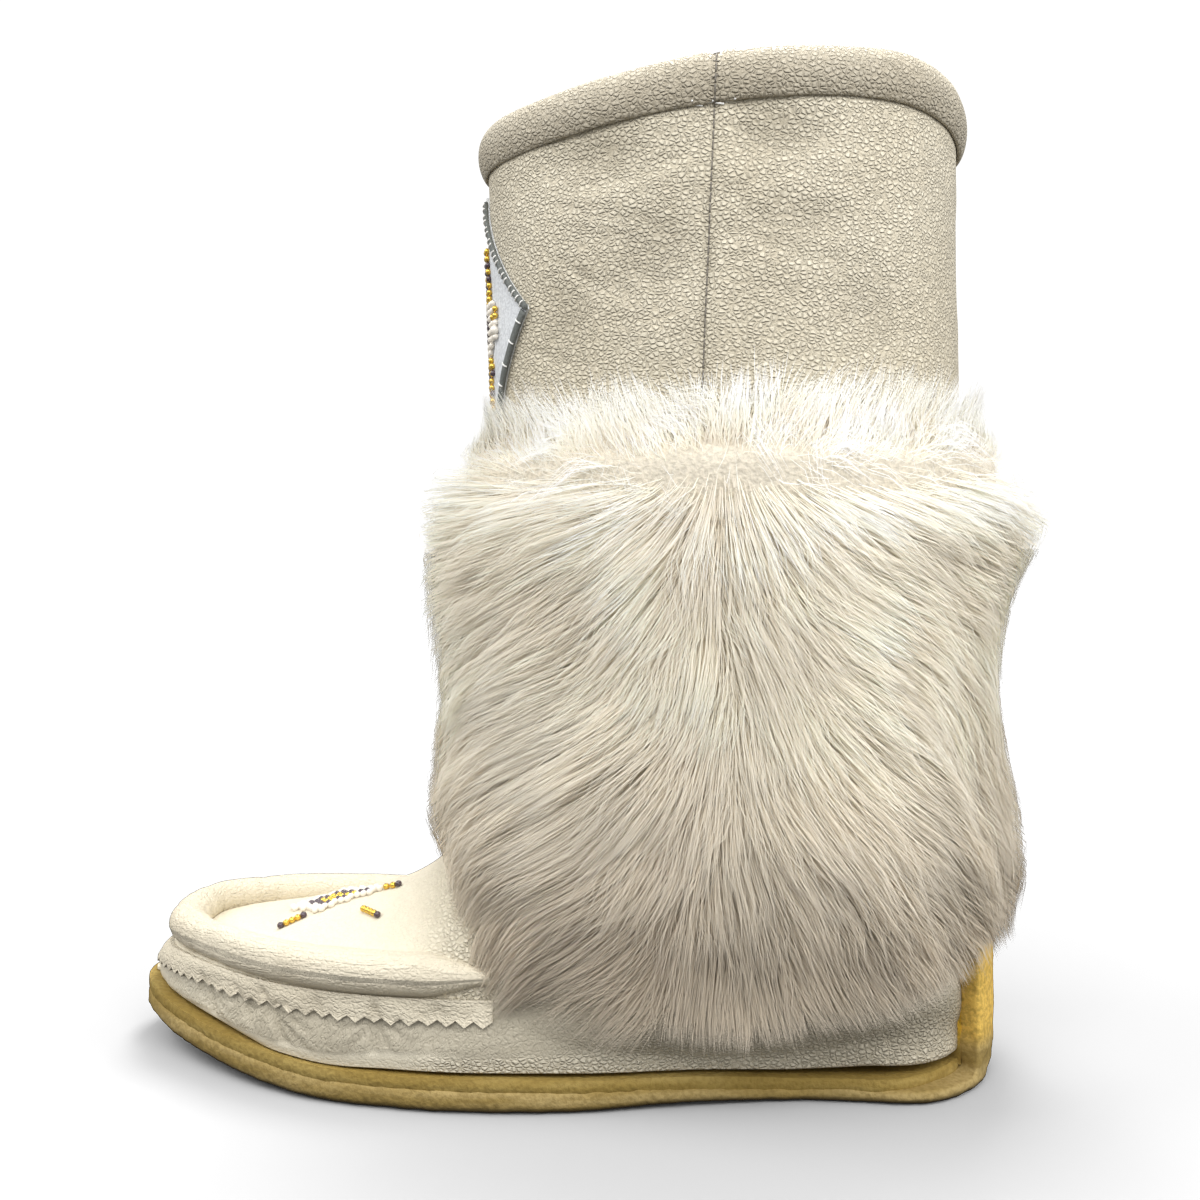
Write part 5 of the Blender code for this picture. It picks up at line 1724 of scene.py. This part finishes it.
def ribbons(lines, shade, rng):
    """Mesh pieces of flat tapering ribbons along lines, facing outwards."""
    root, middle, tip = np.array(HAIR_TONES)
    share = 2 * np.linspace(0, 1, STRAND_POINTS)[:, None]
    tone = np.where(share < 1, root + (middle - root) * share, middle + (tip - middle) * (share - 1))
    along = np.gradient(lines, axis=1)
    along /= np.maximum(np.linalg.norm(along, axis=2, keepdims=True), 1e-9)
    out = lines - np.array((SHAFT_CENTRE, 0.0, 0.0))
    out[:, :, 2] = 0.0
    out /= np.linalg.norm(out, axis=2, keepdims=True)
    across = np.cross(along, out)
    across /= np.maximum(np.linalg.norm(across, axis=2, keepdims=True), 1e-9)
    facing = np.cross(across, along)
    roll = rng.uniform(-0.5, 0.5, len(lines))[:, None, None]
    across = across * np.cos(roll) + facing * np.sin(roll)
    normals = 0.90 * out + 0.22 * np.cross(across, along)
    normals += rng.normal(0, 0.07, (len(lines), 1, 3)) + np.array((0.0, 0.0, 0.15))
    normals /= np.linalg.norm(normals, axis=2, keepdims=True)
    widths = rng.uniform(0.00016, 0.00029, len(lines))
    half = 0.5 * widths[:, None, None] * np.array(HAIR_TAPER)[None, :, None]
    left, right = lines - across * half, lines + across * half
    # Painted shade: hairs on the far side tinted darker grey-pink, and all hairs darker towards the bottom of
    # the cuff.
    far_side_shade = ease((lines[:, :, 1:2] - 0.004) / 0.016)
    shaded = 1 - 0.40 * ease((0.110 - lines[:, :, 2:3]) / 0.085)
    painted_hair_shade = (1 - far_side_shade * np.array((0.26, 0.29, 0.25))) * shaded ** np.array((1.0, 1.14, 1.28))
    pieces, per_hair = 4, 2 * STRAND_POINTS - 1
    pattern = []
    for k in range(STRAND_POINTS - 2):
        pattern += [(2 * k, 2 * k + 1, 2 * k + 3), (2 * k, 2 * k + 3, 2 * k + 2)]
    last = 2 * (STRAND_POINTS - 2)
    pattern.append((last, last + 1, last + 2))
    pattern = np.array(pattern)
    order = rng.permutation(len(lines))
    for number, chosen in enumerate(np.array_split(order, pieces)):
        points, tones, ways = (np.empty((len(chosen), per_hair, 3)) for _ in range(3))
        for k in range(STRAND_POINTS - 1):
            points[:, 2 * k], points[:, 2 * k + 1] = left[chosen, k], right[chosen, k]
            tones[:, 2 * k] = tones[:, 2 * k + 1] = tone[k] * painted_hair_shade[chosen, k]
            ways[:, 2 * k] = ways[:, 2 * k + 1] = normals[chosen, k]
        points[:, -1], ways[:, -1] = lines[chosen, -1], normals[chosen, -1]
        tones[:, -1] = tone[-1] * painted_hair_shade[chosen, -1]
        tones *= shade[chosen, None]
        faces = (pattern[None] + per_hair * np.arange(len(chosen))[:, None, None]).reshape(-1, 3)
        obj = quick_mesh(f"fur_hair_{number + 1}", points.reshape(-1, 3), faces, fur_finish)
        layer = obj.data.color_attributes.new("tone", "FLOAT_COLOR", "POINT")
        flat = np.concatenate((tones.reshape(-1, 3), np.ones((len(chosen) * per_hair, 1))), axis=1)
        layer.data.foreach_set("color", np.clip(flat, 0, 1).astype(np.float32).ravel())
        obj.data.normals_split_custom_set_from_vertices(ways.reshape(-1, 3).tolist())


def quick_mesh(name, points, faces, material):
    """A large mesh of triangles that rides on the boot."""
    mesh = bpy.data.meshes.new(name)
    mesh.vertices.add(len(points))
    mesh.vertices.foreach_set("co", points.astype(np.float32).ravel())
    mesh.loops.add(len(faces) * 3)
    mesh.loops.foreach_set("vertex_index", faces.astype(np.int32).ravel())
    mesh.polygons.add(len(faces))
    mesh.polygons.foreach_set("loop_start", np.arange(len(faces), dtype=np.int32) * 3)
    mesh.update(calc_edges=True)
    mesh.shade_smooth()
    mesh.materials.append(material)
    obj = bpy.data.objects.new(name, mesh)
    bpy.context.scene.collection.objects.link(obj)
    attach(obj, "root")
    return obj


def make_pelt(pelt):
    """The skin and underwool that the hairs stand in."""
    around, rows, share = 240, 70, 0.42
    angles = 2 * math.pi * np.arange(around) / around
    hem, rings = pelt.hem(angles), []
    for i in range(rows + 1):
        height = hem + 0.002 + (FUR_TOP - hem - 0.002) * i / rows
        leather, depth = pelt.at(angles, height)
        end = min(i, rows - i) / 6
        lift = 0.0008 + depth * share * float(ease(end))
        rings.append(cylinder_point(angles, height, leather + lift))
    for i in (rows, rows // 2, 0):
        height = hem + 0.002 + (FUR_TOP - hem - 0.002) * i / rows
        rings.append(cylinder_point(angles, height, pelt.at(angles, height)[0] + 0.0003))
    rings = np.array(rings)
    points = rings.reshape(-1, 3)
    faces = faces_outward(points, tube_faces(*rings.shape[:2], loop_closed=True))
    obj = new_piece("fur_pelt", points, faces, pelt_finish, "fur")
    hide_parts("fur_cuff")


fur_look = Finish("white fur", (0.9, 0.86, 0.78), 0.55, Specular_IOR_Level=0.25)
fur_look.colour(fur_look.node("Attribute", attribute_name="tone").outputs["Color"])
fur_finish = fur_look.material
# The underwool's tone, darker than the hairs, is partly its own colour and partly painted shade between the
# hairs.
pelt_finish = plain_cloth("underwool", (0.80, 0.73, 0.60), 800.0, 0.0006)
make_fur()


# Floor, light and camera

def make_floor():
    mesh = bpy.data.meshes.new("floor")
    mesh.from_pydata([(-40, -40, 0), (40, -40, 0), (40, 40, 0), (-40, 40, 0)], [], [(0, 1, 2, 3)])
    floor = bpy.data.objects.new("floor", mesh)
    bpy.context.scene.collection.objects.link(floor)
    mesh.materials.append(Finish("floor", (0.92, 0.92, 0.92), 0.9, Specular_IOR_Level=0.1).material)
    floor.is_shadow_catcher = True
    floor.visible_diffuse = False
    floor.visible_glossy = False


def area_light(name, place, target, width, height, power, colour=(1.0, 1.0, 1.0)):
    data = bpy.data.lights.new(name, "AREA")
    data.shape = "RECTANGLE"
    data.size, data.size_y = width, height
    data.energy = power
    data.color = colour
    light = bpy.data.objects.new(name, data)
    bpy.context.scene.collection.objects.link(light)
    light.location = place
    light.rotation_euler = (Vector(target) - Vector(place)).to_track_quat("-Z", "Y").to_euler()


def make_world():
    """White to the camera, and a dimmer sky that darkens downwards for the light."""
    world = bpy.data.worlds.new("studio")
    bpy.context.scene.world = world
    world.use_nodes = True
    tree = world.node_tree
    tree.nodes.clear()
    output = tree.nodes.new("ShaderNodeOutputWorld")
    mix = tree.nodes.new("ShaderNodeMixShader")
    shown = tree.nodes.new("ShaderNodeBackground")
    shown.inputs["Color"].default_value = (1.0, 1.0, 1.0, 1.0)
    shown.inputs["Strength"].default_value = 1.09
    sky = tree.nodes.new("ShaderNodeBackground")
    path = tree.nodes.new("ShaderNodeLightPath")
    direction = tree.nodes.new("ShaderNodeTexCoord")
    split = tree.nodes.new("ShaderNodeSeparateXYZ")
    ramp = tree.nodes.new("ShaderNodeValToRGB")
    ramp.color_ramp.elements[0].position = 0.0
    ramp.color_ramp.elements[0].color = (0.12, 0.115, 0.105, 1.0)
    ramp.color_ramp.elements[1].position = 1.0
    ramp.color_ramp.elements[1].color = (0.66, 0.66, 0.66, 1.0)
    shift = tree.nodes.new("ShaderNodeMath")
    shift.operation = "MULTIPLY_ADD"
    shift.inputs[1].default_value = 0.5
    shift.inputs[2].default_value = 0.5
    tree.links.new(direction.outputs["Generated"], split.inputs[0])
    tree.links.new(split.outputs["Z"], shift.inputs[0])
    tree.links.new(shift.outputs[0], ramp.inputs[0])
    tree.links.new(ramp.outputs[0], sky.inputs["Color"])
    tree.links.new(path.outputs["Is Camera Ray"], mix.inputs[0])
    tree.links.new(sky.outputs[0], mix.inputs[1])
    tree.links.new(shown.outputs[0], mix.inputs[2])
    tree.links.new(mix.outputs[0], output.inputs[0])


def make_camera():
    """The photograph's view: from the outer side, a little above the middle, looking slightly down."""
    pitch, yaw, roll = (math.radians(value) for value in (2.3, -5.0, -0.4))
    ahead = Vector((math.sin(yaw) * math.cos(pitch), math.cos(yaw) * math.cos(pitch), -math.sin(pitch)))
    right = Vector((math.cos(yaw), -math.sin(yaw), 0))
    up = right.cross(ahead)
    turned_right = right * math.cos(roll) + up * math.sin(roll)
    turned_up = up * math.cos(roll) - right * math.sin(roll)
    data = bpy.data.cameras.new("camera")
    data.lens = 40.0
    data.sensor_width = 36.0
    data.clip_start = 0.001
    camera = bpy.data.objects.new("camera", data)
    bpy.context.scene.collection.objects.link(camera)
    matrix = Matrix((turned_right, turned_up, -ahead)).transposed().to_4x4()
    matrix.translation = Vector((-0.0297, -0.405, 0.1556))
    camera.matrix_world = matrix
    bpy.context.scene.camera = camera


make_floor()
make_world()
area_light("key", (0.02, 0.30, 1.10), (-0.05, 0.0, 0.05), 0.4, 0.4, 7.4, (1.0, 0.99, 0.97))
area_light("front", (0.03, -0.56, 0.64), (-0.02, 0.0, 0.16), 0.9, 0.4, 5.0)
area_light("right", (0.90, -0.30, 0.55), (0.0, 0.0, 0.15), 0.6, 0.6, 5.0)
area_light("left", (-0.80, -0.12, 0.70), (-0.05, 0.0, 0.16), 0.6, 0.6, 4.2)
make_camera()
bpy.context.scene.view_settings.view_transform = "Standard"
